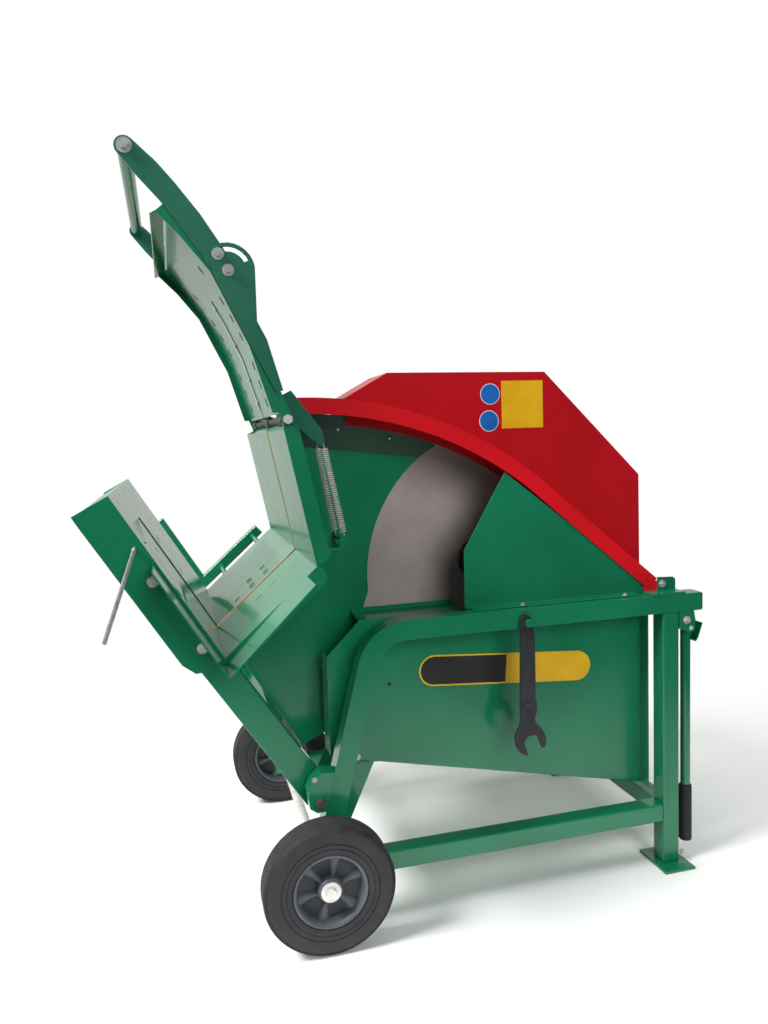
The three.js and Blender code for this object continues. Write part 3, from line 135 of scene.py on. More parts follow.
def ramp(tree, fac, stops):
    """A colour ramp of (place, hex) stops."""
    item = add(tree, "ShaderNodeValToRGB", {"Fac": fac})
    band = item.color_ramp
    while len(band.elements) < len(stops):
        band.elements.new(0.5)
    for element, (place, colour) in zip(band.elements, stops):
        element.position = place
        element.color = linear(colour)
    return item.outputs["Color"]


def fade(tree, value, low, high, start, end):
    item = add(tree, "ShaderNodeMapRange", {
        "Value": value, "From Min": low, "From Max": high, "To Min": start, "To Max": end})
    return item.outputs["Result"]


def noise(tree, size_mm, detail=3.0, rough=0.5):
    """Noise of one real size on the piece's own coordinates."""
    place = add(tree, "ShaderNodeTexCoord").outputs["Object"]
    item = add(tree, "ShaderNodeTexNoise", {
        "Vector": place, "Scale": 1000 / size_mm, "Detail": detail, "Roughness": rough,
    })
    return item.outputs["Fac"]


def bump(tree, height, depth_mm, strength):
    item = add(tree, "ShaderNodeBump", {"Height": height, "Distance": mm(depth_mm), "Strength": strength})
    return item.outputs["Normal"]


def gloss_enamel(name, light, dark, roughness=0.17, coat=0.25, peel_mm=9):
    """Powder-coated sheet: a smooth gloss with faint orange peel and hardly uneven colour."""
    material, tree = new_material(name)
    cloud = noise(tree, 260, 2.0)
    colour = ramp(tree, cloud, [(0.3, dark), (0.7, light)])
    dust = noise(tree, 38, 4.0, 0.6)
    rough = fade(tree, dust, 0.35, 0.75, roughness, roughness + 0.08)
    peel = noise(tree, peel_mm, 1.0)
    return surfaced(material, {
        "Base Color": colour, "Roughness": rough, "Normal": bump(tree, peel, 0.02, 0.25),
        "Coat Weight": coat, "Coat Roughness": 0.05, "IOR": 1.5,
    })


def zinc_plate(name, light="efeee9", dark="d6d5d0", roughness=0.38):
    """Zinc-plated steel: a pale metal with soft cloudy patches."""
    material, tree = new_material(name)
    cloud = noise(tree, 14, 3.0, 0.5)
    colour = ramp(tree, cloud, [(0.3, dark), (0.65, light)])
    rough = fade(tree, noise(tree, 3, 2.0), 0.3, 0.7, roughness - 0.08, roughness + 0.14)
    return surfaced(material, {
        "Base Color": colour, "Metallic": 0.5, "Roughness": rough,
    })


def moulded_rubber(name, light, dark):
    """Tyre rubber: dull, a little dusty, with a fine grain."""
    material, tree = new_material(name)
    dust = noise(tree, 28, 4.0, 0.65)
    colour = ramp(tree, dust, [(0.35, dark), (0.7, light)])
    grain = noise(tree, 1.6, 2.0)
    return surfaced(material, {
        "Base Color": colour, "Roughness": fade(tree, dust, 0.3, 0.7, 0.62, 0.8),
        "Normal": bump(tree, grain, 0.12, 0.4),
    })


def moulded_plastic(name, light, dark, roughness=0.42):
    """Injection-moulded plastic: an even satin with a fine eroded grain."""
    material, tree = new_material(name)
    cloud = noise(tree, 60, 3.0)
    colour = ramp(tree, cloud, [(0.3, dark), (0.7, light)])
    grain = noise(tree, 0.9, 1.0)
    return surfaced(material, {
        "Base Color": colour, "Roughness": fade(tree, cloud, 0.3, 0.7, roughness - 0.05, roughness + 0.08),
        "Normal": bump(tree, grain, 0.05, 0.35),
    })


GRIND_MM = 1.2


def ground_blade_steel(name, centre):
    """Ground saw plate: fine rings round the bore, warm grey, satin."""
    material, tree = new_material(name)
    place = add(tree, "ShaderNodeTexCoord").outputs["Object"]
    moved = add(tree, "ShaderNodeMapping", {
        "Vector": place, "Location": tuple(-v for v in centre)}).outputs[0]
    flat = add(tree, "ShaderNodeVectorMath", {0: moved, 1: (1.0, 0.0, 1.0)}, operation="MULTIPLY").outputs[0]
    radius = add(tree, "ShaderNodeVectorMath", {0: flat}, operation="LENGTH").outputs["Value"]
    rings = add(tree, "ShaderNodeCombineXYZ", {"X": radius}).outputs["Vector"]
    # Grinding marks are near 0.3 mm apart, drawn wider so that they show
    lines = add(tree, "ShaderNodeTexNoise", {
        "Vector": rings, "Scale": 1000 / GRIND_MM, "Detail": 3.0}).outputs["Fac"]
    cloud = noise(tree, 150, 3.0)
    mixed = add(tree, "ShaderNodeMath", {0: lines, 1: 0.45}, operation="MULTIPLY").outputs["Value"]
    total = add(tree, "ShaderNodeMath", {0: mixed, 1: cloud}, operation="ADD").outputs["Value"]
    colour = ramp(tree, total, [(0.45, "b3a6a3"), (0.95, "dccfcc")])
    return surfaced(material, {
        "Base Color": colour, "Metallic": 0.4, "Roughness": fade(tree, lines, 0.3, 0.7, 0.5, 0.6),
    })


def printed_film(name, light, dark, roughness=0.35):
    """Printed vinyl film: an even colour under a soft gloss."""
    material, tree = new_material(name)
    cloud = noise(tree, 45, 2.0)
    colour = ramp(tree, cloud, [(0.3, dark), (0.7, light)])
    return surfaced(material, {
        "Base Color": colour, "Roughness": fade(tree, cloud, 0.3, 0.7, roughness - 0.05, roughness + 0.06),
    })


# Meshes


def finish_piece(name, mesh, material, body):
    piece = bpy.data.objects.new(name, mesh)
    bpy.context.scene.collection.objects.link(piece)
    mesh.materials.clear()
    mesh.materials.append(material)
    if body:
        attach(piece, body)
    return piece


def soften(bm, width, angle=30, segments=2):
    """Rounds the sharp edges by a real width."""
    edges = [e for e in bm.edges if len(e.link_faces) == 2 and e.calc_face_angle(0) > math.radians(angle)]
    bmesh.ops.bevel(
        bm, geom=edges, offset=width, segments=segments, profile=0.6, affect="EDGES", clamp_overlap=True)


def mesh_from(bm, name, smooth=35):
    bmesh.ops.recalc_face_normals(bm, faces=bm.faces)
    mesh = bpy.data.meshes.new(name)
    bm.to_mesh(mesh)
    bm.free()
    mesh.shade_smooth()
    mesh.set_sharp_from_angle(angle=math.radians(smooth))
    return mesh


def settle(bm, name, finish, body, smooth=35):
    return finish_piece(name, mesh_from(bm, name, smooth), MATERIALS[finish], body)


def prism(bm, outline, y0, y1):
    """A plate across Y from a drawing outline of (x, z)."""
    near = [bm.verts.new(at(x, y0, z)) for x, z in outline]
    far = [bm.verts.new(at(x, y1, z)) for x, z in outline]
    bm.faces.new(near)
    bm.faces.new(reversed(far))
    for i in range(len(near)):
        j = (i + 1) % len(near)
        bm.faces.new((near[j], near[i], far[i], far[j]))


def ring_about_y(bm, centre, profile, steps):
    """A closed profile of (radius, y) in millimetres, turned about a line along Y."""
    rings = []
    for k in range(steps):
        angle = 2 * math.pi * k / steps
        rings.append([
            bm.verts.new(centre + Vector((mm(r) * math.cos(angle), mm(y), mm(r) * math.sin(angle))))
            for r, y in profile
        ])
    for k in range(steps):
        here, there = rings[k], rings[(k + 1) % steps]
        for i in range(len(profile)):
            j = (i + 1) % len(profile)
            bm.faces.new((here[i], here[j], there[j], there[i]))


# Geometry Nodes


def tree_named(name):
    tree = bpy.data.node_groups.new(name, "GeometryNodeTree")
    tree.is_modifier = True
    tree.interface.new_socket("Geometry", in_out="INPUT", socket_type="NodeSocketGeometry")
    tree.interface.new_socket("Geometry", in_out="OUTPUT", socket_type="NodeSocketGeometry")
    return tree


def tree_input(tree, name, kind, value):
    tree.interface.new_socket(name, in_out="INPUT", socket_type=kind).default_value = value


def run_tree(name, mesh, tree, values, material, body, smooth=35):
    """Runs a tree on a mesh and keeps the result as a plain piece."""
    source = bpy.data.objects.new(name + "_source", mesh)
    bpy.context.scene.collection.objects.link(source)
    modifier = source.modifiers.new("make", "NODES")
    modifier.node_group = tree
    for item in tree.interface.items_tree:
        if item.in_out == "INPUT" and item.name in values:
            modifier[item.identifier] = values[item.name]
    bpy.context.view_layer.update()
    done = source.evaluated_get(bpy.context.evaluated_depsgraph_get())
    plain = bpy.data.meshes.new_from_object(done)
    bpy.data.objects.remove(source)
    plain.name = name
    plain.shade_smooth()
    plain.set_sharp_from_angle(angle=math.radians(smooth))
    return finish_piece(name, plain, material, body)


def tree_end(tree, shape, material):
    """Ends a tree in a real mesh with its material."""
    real = add(tree, "GeometryNodeRealizeInstances", {"Geometry": shape}).outputs[0]
    done = add(tree, "GeometryNodeSetMaterial", {"Geometry": real, "Material": material}).outputs[0]
    add(tree, "NodeGroupOutput", {"Geometry": done})
    return tree


def attribute(tree, name, kind="FLOAT_VECTOR"):
    return add(tree, "GeometryNodeInputNamedAttribute", {"Name": name}, data_type=kind).outputs["Attribute"]


def spread(tree, given, shape, material, turned=False):
    """Sets a shape at each given point along its aim: at the point's size, or turned the way it runs."""
    turn = add(tree, "FunctionNodeAlignRotationToVector", {
        "Vector": attribute(tree, "aim")}, axis="Z").outputs[0]
    inputs = {"Instance": shape}
    if turned:
        turn = add(tree, "FunctionNodeAlignRotationToVector", {
            "Rotation": turn, "Vector": attribute(tree, "along")}, axis="X", pivot_axis="Z").outputs[0]
    else:
        inputs["Scale"] = attribute(tree, "size", "FLOAT")
    inputs["Rotation"] = turn
    inputs["Points"] = add(tree, "GeometryNodeMeshToPoints", {"Mesh": given.outputs["Geometry"]}).outputs[0]
    placed = add(tree, "GeometryNodeInstanceOnPoints", inputs).outputs[0]
    return tree_end(tree, placed, material)


def halved(tree, value):
    return add(tree, "ShaderNodeMath", {0: value, 1: 0.5}, operation="MULTIPLY").outputs[0]


def fastener_tree(material):
    """A hexagon head on a washer, set at each point along its aim."""
    tree = tree_named("Fasteners")
    tree_input(tree, "Head Width", "NodeSocketFloat", mm(10.5))
    tree_input(tree, "Head Height", "NodeSocketFloat", mm(6.5))
    tree_input(tree, "Washer Width", "NodeSocketFloat", mm(20))
    tree_input(tree, "Washer Height", "NodeSocketFloat", mm(1.6))
    given = add(tree, "NodeGroupInput")
    # A hexagon's corners lie 0.577 of its width from its middle
    head_r = add(tree, "ShaderNodeMath", {
        0: given.outputs["Head Width"], 1: 0.577}, operation="MULTIPLY").outputs[0]
    washer_r = halved(tree, given.outputs["Washer Width"])
    washer = add(tree, "GeometryNodeMeshCylinder", {
        "Vertices": 28, "Radius": washer_r, "Depth": given.outputs["Washer Height"]}).outputs["Mesh"]
    low = halved(tree, given.outputs["Washer Height"])
    low_at = add(tree, "ShaderNodeCombineXYZ", {"Z": low}).outputs[0]
    washer = add(tree, "GeometryNodeTransform", {"Geometry": washer, "Translation": low_at}).outputs[0]
    head = add(tree, "GeometryNodeMeshCylinder", {
        "Vertices": 6, "Radius": head_r, "Depth": given.outputs["Head Height"]}).outputs["Mesh"]
    half = halved(tree, given.outputs["Head Height"])
    up = add(tree, "ShaderNodeMath", {0: half, 1: given.outputs["Washer Height"]}, operation="ADD").outputs[0]
    up_at = add(tree, "ShaderNodeCombineXYZ", {"Z": up}).outputs[0]
    head = add(tree, "GeometryNodeTransform", {"Geometry": head, "Translation": up_at}).outputs[0]
    both = add(tree, "GeometryNodeJoinGeometry")
    tree.links.new(washer, both.inputs[0])
    tree.links.new(head, both.inputs[0])
    return spread(tree, given, both.outputs[0], material)


def dome_tree(material):
    """A round rivet or button head, set at each point along its aim."""
    tree = tree_named("Domes")
    tree_input(tree, "Head Width", "NodeSocketFloat", mm(9))
    given = add(tree, "NodeGroupInput")
    radius = halved(tree, given.outputs["Head Width"])
    ball = add(tree, "GeometryNodeMeshUVSphere", {"Segments": 18, "Rings": 10, "Radius": radius}).outputs[0]
    flat = add(tree, "GeometryNodeTransform", {"Geometry": ball, "Scale": (1.0, 1.0, 0.55)}).outputs[0]
    return spread(tree, given, flat, material)


def slit_tree(material):
    """A short dark slit, set at each point along its aim."""
    tree = tree_named("Slits")
    tree_input(tree, "Length", "NodeSocketFloat", mm(14))
    tree_input(tree, "Width", "NodeSocketFloat", mm(2.4))
    given = add(tree, "NodeGroupInput")
    size3 = add(tree, "ShaderNodeCombineXYZ", {
        "X": given.outputs["Length"], "Y": given.outputs["Width"], "Z": mm(0.5)}).outputs[0]
    bar = add(tree, "GeometryNodeMeshCube", {"Size": size3}).outputs["Mesh"]
    return spread(tree, given, bar, material, turned=True)


def places_mesh(places, turned=False):
    """Points from rows of x, y, z, aim, and the size or, for turned shapes, the way along."""
    mesh = bpy.data.meshes.new("places")
    mesh.from_pydata([at(*p[:3]) for p in places], [], [])
    mesh.attributes.new("aim", "FLOAT_VECTOR", "POINT")
    mesh.attributes.new(*(("along", "FLOAT_VECTOR") if turned else ("size", "FLOAT")), "POINT")
    for i, p in enumerate(places):
        mesh.attributes["aim"].data[i].vector = p[3]
        if turned:
            mesh.attributes["along"].data[i].vector = p[4]
        else:
            mesh.attributes["size"].data[i].value = p[4]
    return mesh


def spring_tree(material):
    """A close-wound wire between two ends."""
    tree = tree_named("Tension Spring")
    tree_input(tree, "Curls", "NodeSocketFloat", 42.0)
    tree_input(tree, "Coil Radius", "NodeSocketFloat", mm(5.8))
    tree_input(tree, "Wire Radius", "NodeSocketFloat", mm(1.2))
    tree_input(tree, "Length", "NodeSocketFloat", mm(160))
    given = add(tree, "NodeGroupInput")
    line = add(tree, "GeometryNodeCurveSpiral", {
        "Resolution": 20, "Rotations": given.outputs["Curls"], "Start Radius": given.outputs["Coil Radius"],
        "End Radius": given.outputs["Coil Radius"], "Height": given.outputs["Length"]}).outputs["Curve"]
    wire = add(tree, "GeometryNodeCurvePrimitiveCircle", {
        "Resolution": 8, "Radius": given.outputs["Wire Radius"]}).outputs["Curve"]
    body = add(tree, "GeometryNodeCurveToMesh", {
        "Curve": line, "Profile Curve": wire, "Fill Caps": True}).outputs[0]
    return tree_end(tree, body, material)


# Settings that a user would change


class RockerSawPaint(bpy.types.PropertyGroup):
    edge: FloatProperty(
        name="Edge rounding", description="Radius of the sheet edges", unit="LENGTH", default=mm(0.9), min=0)
    tube: FloatProperty(
        name="Tube rounding", description="Radius of the square tubes' corners", unit="LENGTH",
        default=mm(3.2), min=0)


class RockerSawSprings(bpy.types.PropertyGroup):
    curls: IntProperty(name="Curls", description="Turns of each tension spring", default=40, min=4, max=80)
    wire: FloatProperty(
        name="Wire radius", description="Radius of the spring wire", unit="LENGTH", default=mm(1.05), min=0)


class RockerSawStage(bpy.types.PropertyGroup):
    sky: FloatProperty(name="Room light", description="Strength of the even light", default=1.0, min=0)


def make_materials():
    MATERIALS.update({
        "green": gloss_enamel("Green powder coat", "167a55", "0f6847"),
        # A greyer, darker copy of the green: painted sheen and shade on the hold-down's side pieces and lever
        "arms_sheen_and_shade": gloss_enamel("Green powder coat on the hold-down arms", "2b6c58", "205c4a"),
        # One red paint in two copies: lighter on the arch for painted light, darker on the hood for painted
        # shade
        "red": gloss_enamel("Red powder coat", "d8101e", "c60c19", 0.32, 0.1),
        "hood": gloss_enamel("Red powder coat in painted shade on the hood", "bd0c1a", "aa0a16", 0.36, 0.05),
        "zinc": zinc_plate("Zinc-plated steel"),
        "wire": zinc_plate("Bright spring wire", "f4f3ef", "e4e3de", 0.3),
        "worn": zinc_plate("Turned steel", "6d6562", "4d4745", 0.42),
        "blade": ground_blade_steel("Ground saw plate", at(*BLADE_MIDDLE)),
        "rod": zinc_plate("Plain steel rod", "aeb1ae", "929592", 0.42),
        "bolt": zinc_plate("Dull zinc bolt heads", "cfcfca", "b0b1ac", 0.42),
        # A darker copy of the green: painted shade on the wing's top under the arch
        "screen": gloss_enamel("Green sheet in painted shade under the arch", "0d4430", "08301f", 0.5, 0.0, 3),
        "rubber": moulded_rubber("Tyre rubber", "3b393d", "2a292c"),
        "rim": moulded_plastic("Grey moulded rim", "5d6269", "484c53"),
        "shade": moulded_plastic("Shadowed rim web", "3a3c41", "2b2d31", 0.6),
        "black": moulded_plastic("Black oxide and plastic", "2d2e31", "1f2022", 0.46),
        "grip": moulded_rubber("Rubber grip", "2f2e31", "1c1b1d"),
        "motor": gloss_enamel("Dark motor enamel", "30363b", "22272b", 0.4, 0.1),
        "dark": moulded_plastic("Shadowed cut edge", "12301f", "0a2015", 0.6),
        "yellow": printed_film("Yellow vinyl film", "e3b41c", "d6a616"),
        "ink": printed_film("Black vinyl film", "262427", "1d1b1e"),
        "blue": printed_film("Blue vinyl film", "1f6fc2", "1862b0"),
        "pale": printed_film("Pale vinyl film", "e2e6e6", "d5dadb"),
        # Orange painted light along the trough's slot
        "cut": printed_film("Orange painted light along the slot", "f2c489", "d99a55", 0.5),
    })


def body_of(name):
    """The body that carries a node."""
    return next(body for body, nodes in frame["record"]["behaviour"]["bodies"].items() if name in nodes)


TUBES = (
    "frame_tube_near frame_tube_far leg_near leg_far lower_rail_near lower_rail_far cross_rail cross_tube "
    "arm_near arm_far log_support"
).split()
REMADE = (
    "tyre_near tyre_far rim_near rim_far spring_1 spring_2 push_handle_near push_handle_far wrench "
    "handle_bracket_near handle_bracket_far"
).split()
FINISHES = {
    "red": ["guard_arch"],
    "arms_sheen_and_shade": ["hold_arm_near", "hold_arm_far", "adjust_plate_near", "adjust_plate_far", "spring_lever"],
    "hood": ["hood"],
    "blade": ["blade"],
    "zinc": ["axle", "hinge_pin_near", "hinge_pin_far"],
    "rod": ["length_stop"],
    "worn": ["pivot_shaft", "blade_hub"],
    "motor": ["motor", "belt_guard"],
}


class SAW_OT_paint(bpy.types.Operator):
    """Dresses each node in its finish, with rounded edges"""

    bl_idname = "rocker_saw.paint"
    bl_label = "Paint and Edges"

    def execute(self, context):
        make_materials()
        chosen = context.scene.rocker_saw_paint
        finish_of = {n: key for key, names in FINISHES.items() for n in names}
        for row in frame["record"]["subparts"]:
            name = row["node"]
            if name in REMADE:
                continue
            bm = bmesh.new()
            bm.from_mesh(frame["nodes"][name].data)
            bm.transform(frame["nodes"][name].matrix_world)
            bmesh.ops.remove_doubles(bm, verts=bm.verts, dist=mm(0.02))
            bmesh.ops.dissolve_limit(bm, angle_limit=math.radians(0.5), verts=bm.verts, edges=bm.edges)
            soften(bm, chosen.tube if name in TUBES else chosen.edge)
            mesh = mesh_from(bm, name)
            for face in mesh.polygons:
                if abs(face.normal.y) > 0.9999:
                    face.use_smooth = False
            piece = finish_piece(name + "_skin", mesh, MATERIALS[finish_of.get(name, "green")], body_of(name))
            weigh = piece.modifiers.new("even_shading", "WEIGHTED_NORMAL")
            weigh.keep_sharp = True
            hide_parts(name)
            if name == "wing_near":
                self.screen(mesh)
        return {"FINISHED"}

    def screen(self, mesh):
        """A darker copy of the wing's sloping top, set just in front of it under the arch: painted shade from
        the arch's overhang.
        """
        bm = bmesh.new()
        bm.from_mesh(mesh)
        # Keeps the wing's upper faces that look down and forward, where the shade is painted
        others = [f for f in bm.faces
                  if f.normal.z > -0.3 or f.normal.y > -0.8 or f.calc_center_median().z < mm(900)]
        bmesh.ops.delete(bm, geom=others, context="FACES")
        lift = Vector((0, mm(-0.5), mm(-0.23)))
        covered = list(bm.faces)
        rim = [(edge.link_loops[0].vert, edge.link_loops[0].link_loop_next.vert)
               for edge in bm.edges if edge.is_boundary]
        # Made face by face, since Blender's own extrusion leaves them in another order each run
        lifted = {vert: bm.verts.new(vert.co + lift) for vert in list(bm.verts)}
        for face in covered:
            bm.faces.new([lifted[vert] for vert in face.verts])
        for a, b in rim:
            bm.faces.new((a, b, lifted[b], lifted[a]))
        settle(bm, "wing_painted_shade", "screen", body_of("wing_near"))


RIBS = 5
RIB_PITCH = 9
TYRE_R = 129.8
GROOVE_R = 127.4
# Radius and half width, from the tread's edge over the shoulder's grooves to the rim
SIDE_WALL = [
    (128.6, 22.8), (127.8, 24.8), (127, 24.3), (126.1, 26.4), (125.3, 25.9), (124.2, 27.8),
    (123.4, 27.3), (122, 28.9), (121.1, 28.4), (119, 29.6), (114, 30), (98, 30), (96.8, 28.4), (95, 28.4),
    (93.8, 30), (88, 30), (87, 28.8), (85.8, 28.8), (84.8, 30), (79, 29.6), (75.2, 28), (74.2, 24),
]


class SAW_OT_tyres(bpy.types.Operator):
    """Ribbed tyres with moulded sidewall rings"""

    bl_idname = "rocker_saw.tyres"
    bl_label = "Tyres"

    def execute(self, context):
        tread = []
        for k in range(RIBS):
            middle = (k - (RIBS - 1) / 2) * RIB_PITCH
            tread += [(GROOVE_R, middle - 3.6), (TYRE_R, middle - 2.6)]
            tread += [(TYRE_R, middle + 2.6), (GROOVE_R, middle + 3.6)]
        profile = tread + SIDE_WALL + [(r, -w) for r, w in reversed(SIDE_WALL)]
        for side, y in WHEEL_Y.items():
            bm = bmesh.new()
            ring_about_y(bm, at(WHEEL_X, y, WHEEL_Z), profile, 96)
            mesh = mesh_from(bm, "tyre_tread_" + side, 30)
            piece = finish_piece("tyre_tread_" + side, mesh, MATERIALS["rubber"], "wheel_" + side)
            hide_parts("tyre_" + side)
        return {"FINISHED"}


class SAW_OT_rims(bpy.types.Operator):
    """Moulded rims with flared spokes, washers and axle ends"""

    bl_idname = "rocker_saw.rims"
    bl_label = "Rims"

    def execute(self, context):
        for side, out in (("near", -1), ("far", 1)):
            centre = at(WHEEL_X, WHEEL_Y[side], WHEEL_Z)
            bm = bmesh.new()
            bowl = [(73.8, -27), (72.5, -28.6), (70, -28.6), (67, -26.5), (64.5, -18), (62.5, -6)]
            ring_about_y(bm, centre, bowl + [(r, -w) for r, w in reversed(bowl)], 72)
            hub = [(10.6, -26), (22, -26), (24.5, -23.5), (25.5, -14)]
            ring_about_y(bm, centre, hub + [(r, -w) for r, w in reversed(hub)], 48)
            for k in range(6):
                spoke = spoke_rings(20, 66, 9)
                turn = Matrix.Rotation(math.radians(60 * k + 14), 4, "Y")
                rings = [[bm.verts.new(centre + turn @ point) for point in ring] for ring in spoke]
                for a, b in zip(rings, rings[1:]):
                    for i in range(len(a)):
                        j = (i + 1) % len(a)
                        bm.faces.new((a[i], a[j], b[j], b[i]))
                bm.faces.new(reversed(rings[0]))
                bm.faces.new(rings[-1])
            piece = settle(bm, "rim_bowl_" + side, "rim", "wheel_" + side, smooth=40)
            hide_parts("rim_" + side)
            bm = bmesh.new()
            ring_about_y(bm, centre, [(25.8, -4), (64.2, -4), (64.2, 4), (25.8, 4)], 64)
            settle(bm, "rim_web_" + side, "shade", "wheel_" + side)
            bm = bmesh.new()
            washer = [(10.4, 26.3), (19.5, 26.3), (20, 27), (19.4, 28.6), (10.4, 28.6)]
            ring_about_y(bm, centre, [(r, w * out) for r, w in washer], 40)
            settle(bm, "axle_washer_" + side, "zinc", "wheel_" + side)
        return {"FINISHED"}


def spoke_rings(inner, outer, steps):
    """Half-round spoke sections that widen and sink towards the rim, in metres round the wheel's centre."""
    rings = []
    for k in range(steps):
        share = k / (steps - 1)
        r = inner + (outer - inner) * share
        wide = 5.2 + 9.5 * share ** 1.5
        deep = 19 - 9.5 * math.sin(math.pi * share * 0.8)
        rings.append([
            Vector((mm(wide * math.cos(a)), mm(deep * math.sin(a)), mm(r)))
            for a in [math.pi * 2 * i / 20 for i in range(20)]
        ])
    return rings


FRONT = (0.0, -1.0, 0.0)
BACK = (0.0, 1.0, 0.0)
UP = (0.0, 0.0, 1.0)
RIGHT = (1.0, 0.0, 0.0)
HEXAGONS = {
    "frame": [
        (1136.6, 20, 604, RIGHT, 0.6), (1136.6, 563, 604, RIGHT, 0.6),
        (1096.3, -2, 564.3, FRONT, 0.9), (1096.3, 585, 564.3, BACK, 0.9),
        (247, -3.2, 321, FRONT, 0.55), (713, 22, 626.9, UP, 0.6), (957, 22, 626.9, UP, 0.6),
        (1059.5, 36.2, 642.7, FRONT, 0.85), (1088, 4, 24, FRONT, 0.7), (1088, 579, 24, BACK, 0.7),
        (354, 78, 322, FRONT, 0.6),
    ],
    "rocker": [(-35, -60.3, 751.7, FRONT, 1.0), (44.1, -60.3, 623, FRONT, 1.0)],
    "hold_down": [
        (108.7, -64.6, 1321.4, FRONT, 1.05), (125.2, -64.6, 1293.9, FRONT, 1.05),
        (-37, -61.3, 1497, FRONT, 1.3),
        (108.7, 507.6, 1321.4, BACK, 1.05), (125.2, 507.6, 1293.9, BACK, 1.05),
        (-37, 504.3, 1497, BACK, 1.3),
    ],
}
RIVETS = {
    "rocker": [(353, 143, 1012, FRONT, 0.7), (466, 145, 990, FRONT, 0.7)],
    "wheel_near": [(257, -85.5, 130, FRONT, 1.9)],
    "wheel_far": [(257, 668.5, 130, BACK, 1.9)],
}


class SAW_OT_fasteners(bpy.types.Operator):
    """Bolt heads with washers, and round rivet heads"""

    bl_idname = "rocker_saw.fasteners"
    bl_label = "Fasteners"

    def execute(self, context):
        bolts = fastener_tree(MATERIALS["bolt"])
        for body, rows in HEXAGONS.items():
            run_tree("bolts_" + body, places_mesh(rows), bolts, {}, MATERIALS["bolt"], body, 25)
        heads = dome_tree(MATERIALS["zinc"])
        for body, rows in RIVETS.items():
            run_tree("heads_" + body, places_mesh(rows), heads, {}, MATERIALS["zinc"], body, 60)
        return {"FINISHED"}


# Along and out of the trough's floor, and of its left side
FLOOR_WAY = (0.7507, 0.0, 0.6607)
FLOOR_OUT = (-0.6607, 0.0, 0.7507)
LEFT_WAY = (-0.5149, 0.0, 0.8572)
LEFT_OUT = (0.8572, 0.0, 0.5149)
TROUGH_SLITS = [
    *((x, y, z, FLOOR_OUT, FLOOR_WAY)
      for x, z in ((199.2, 701.5), (167.2, 673.5)) for y in (337, 270, 118)),
    *((133.9, y, 643.9, FLOOR_OUT, FLOOR_WAY) for y in (120, 270)),
    *((x, y, z, LEFT_OUT, LEFT_WAY)
      for x, z in ((-28, 786.5), (16.5, 712.5), (37, 678)) for y in (318, 270, 116)),
]
LEDGE_SLITS = [
    *((x, y, z, FLOOR_OUT, FLOOR_WAY)
      for x, z in ((128, 630), (140, 640.6), (152, 651.2)) for y in (-134, -90)),
]
HOLD_FACE = ((24.3, 1407.5), (48, 1376.1), (105.8, 1299), (136.9, 1242.5), (170.1, 1170.4), (208.8, 1043.4))
HOLD_SLIT_X = (87.5, 124, 141.5, 157.5, 179, 190, 201)
SHEET = 3.1


def on_hold_face(x):
    """Place, outward aim and way of the hold-down's inner face at a drawing X."""
    for (x0, z0), (x1, z1) in zip(HOLD_FACE, HOLD_FACE[1:]):
        if x <= x1:
            way = Vector((x1 - x0, 0, z1 - z0)).normalized()
            return (x + SHEET * way.z, z0 + (x - x0) / (x1 - x0) * (z1 - z0) - SHEET * way.x,
                    (way.z, 0.0, -way.x), tuple(way))


class SAW_OT_slits(bpy.types.Operator):
    """Tab slits in the sheet, and the strip along the slot of the hold-down"""

    bl_idname = "rocker_saw.slits"
    bl_label = "Slits"

    def execute(self, context):
        hold_slits = [
            (fx, y, fz, out, way)
            for fx, fz, out, way in map(on_hold_face, HOLD_SLIT_X) for y in (73, 82, 370, 379)
        ]
        tree = slit_tree(MATERIALS["dark"])
        for name, rows, values, body in (
            ("slits_hold", hold_slits, {"Length": mm(17)}, "hold_down"),
            ("slits_trough", TROUGH_SLITS, {}, "rocker"),
            ("slits_ledge", LEDGE_SLITS, {}, "rocker"),
        ):
            run_tree(name, places_mesh(rows, turned=True), tree, values, MATERIALS["dark"], body)
        bm = bmesh.new()
        line = [on_hold_face(x) for x in (112, 136.8, 170, 203)]
        for start, end in zip(line, line[1:]):
            out = end[2]
            prism(bm, [(start[0], start[1]), (end[0], end[1]), (end[0] + 2 * out[0], end[1] + 2 * out[2]),
                       (start[0] + 2 * out[0], start[1] + 2 * out[2])], 212, 222)
        for x in (121, 158, 184, 199):
            fx, fz, out, way = on_hold_face(x)
            tab = [(fx + k * way[0], fz + k * way[2]) for k in (-1.5, 1.5)]
            prism(bm, [*tab, *((px + 3.2 * out[0], pz + 3.2 * out[2]) for px, pz in reversed(tab))], 206, 234)
        settle(bm, "slot_strip", "zinc", "hold_down")
        # Thin orange strips along the trough's slot: painted light showing through it
        bm = bmesh.new()
        prism(bm, [(84.4, 600.4), (261, 756), (260, 757.1), (83.4, 601.5)], 208.2, 209.9)
        prism(bm, [(84.4, 600.4), (87.4, 597), (264, 752.8), (261, 756)], 208.4, 209.8)
        prism(bm, [(261, 756.5), (264.8, 757), (214.8, 1011), (211, 1010.5)], 208.4, 209.8)
        prism(bm, [(261, 756.5), (211, 1010.5), (210.2, 1010.3), (260.2, 756.3)], 208.4, 209.8)
        settle(bm, "slot_light_edge", "cut", "rocker")
        bm = bmesh.new()
        prism(bm, [(83.8, 600.3), (-62.4, 843.4), (-60.9, 844.3), (85.3, 601.2)], 208.2, 209.9)
        settle(bm, "slot_lip", "dark", "rocker")
        return {"FINISHED"}


def straight_wire(bm, start, end, radius):
    """A round rod between two places in metres."""
    way = end - start
    turn = Vector((0, 0, 1)).rotation_difference(way).to_matrix().to_4x4()
    bmesh.ops.create_cone(bm, cap_ends=True, segments=10, radius1=radius, radius2=radius, depth=way.length,
                          matrix=Matrix.Translation((start + end) / 2) @ turn)


# Y of each spring, and its upper and lower X
SPRING_LINES = ((-20, 288.5, 324), (24, 284, 316))
SPRING_TOP, SPRING_LOW = 988, 800
SPRING_HOOK = 13


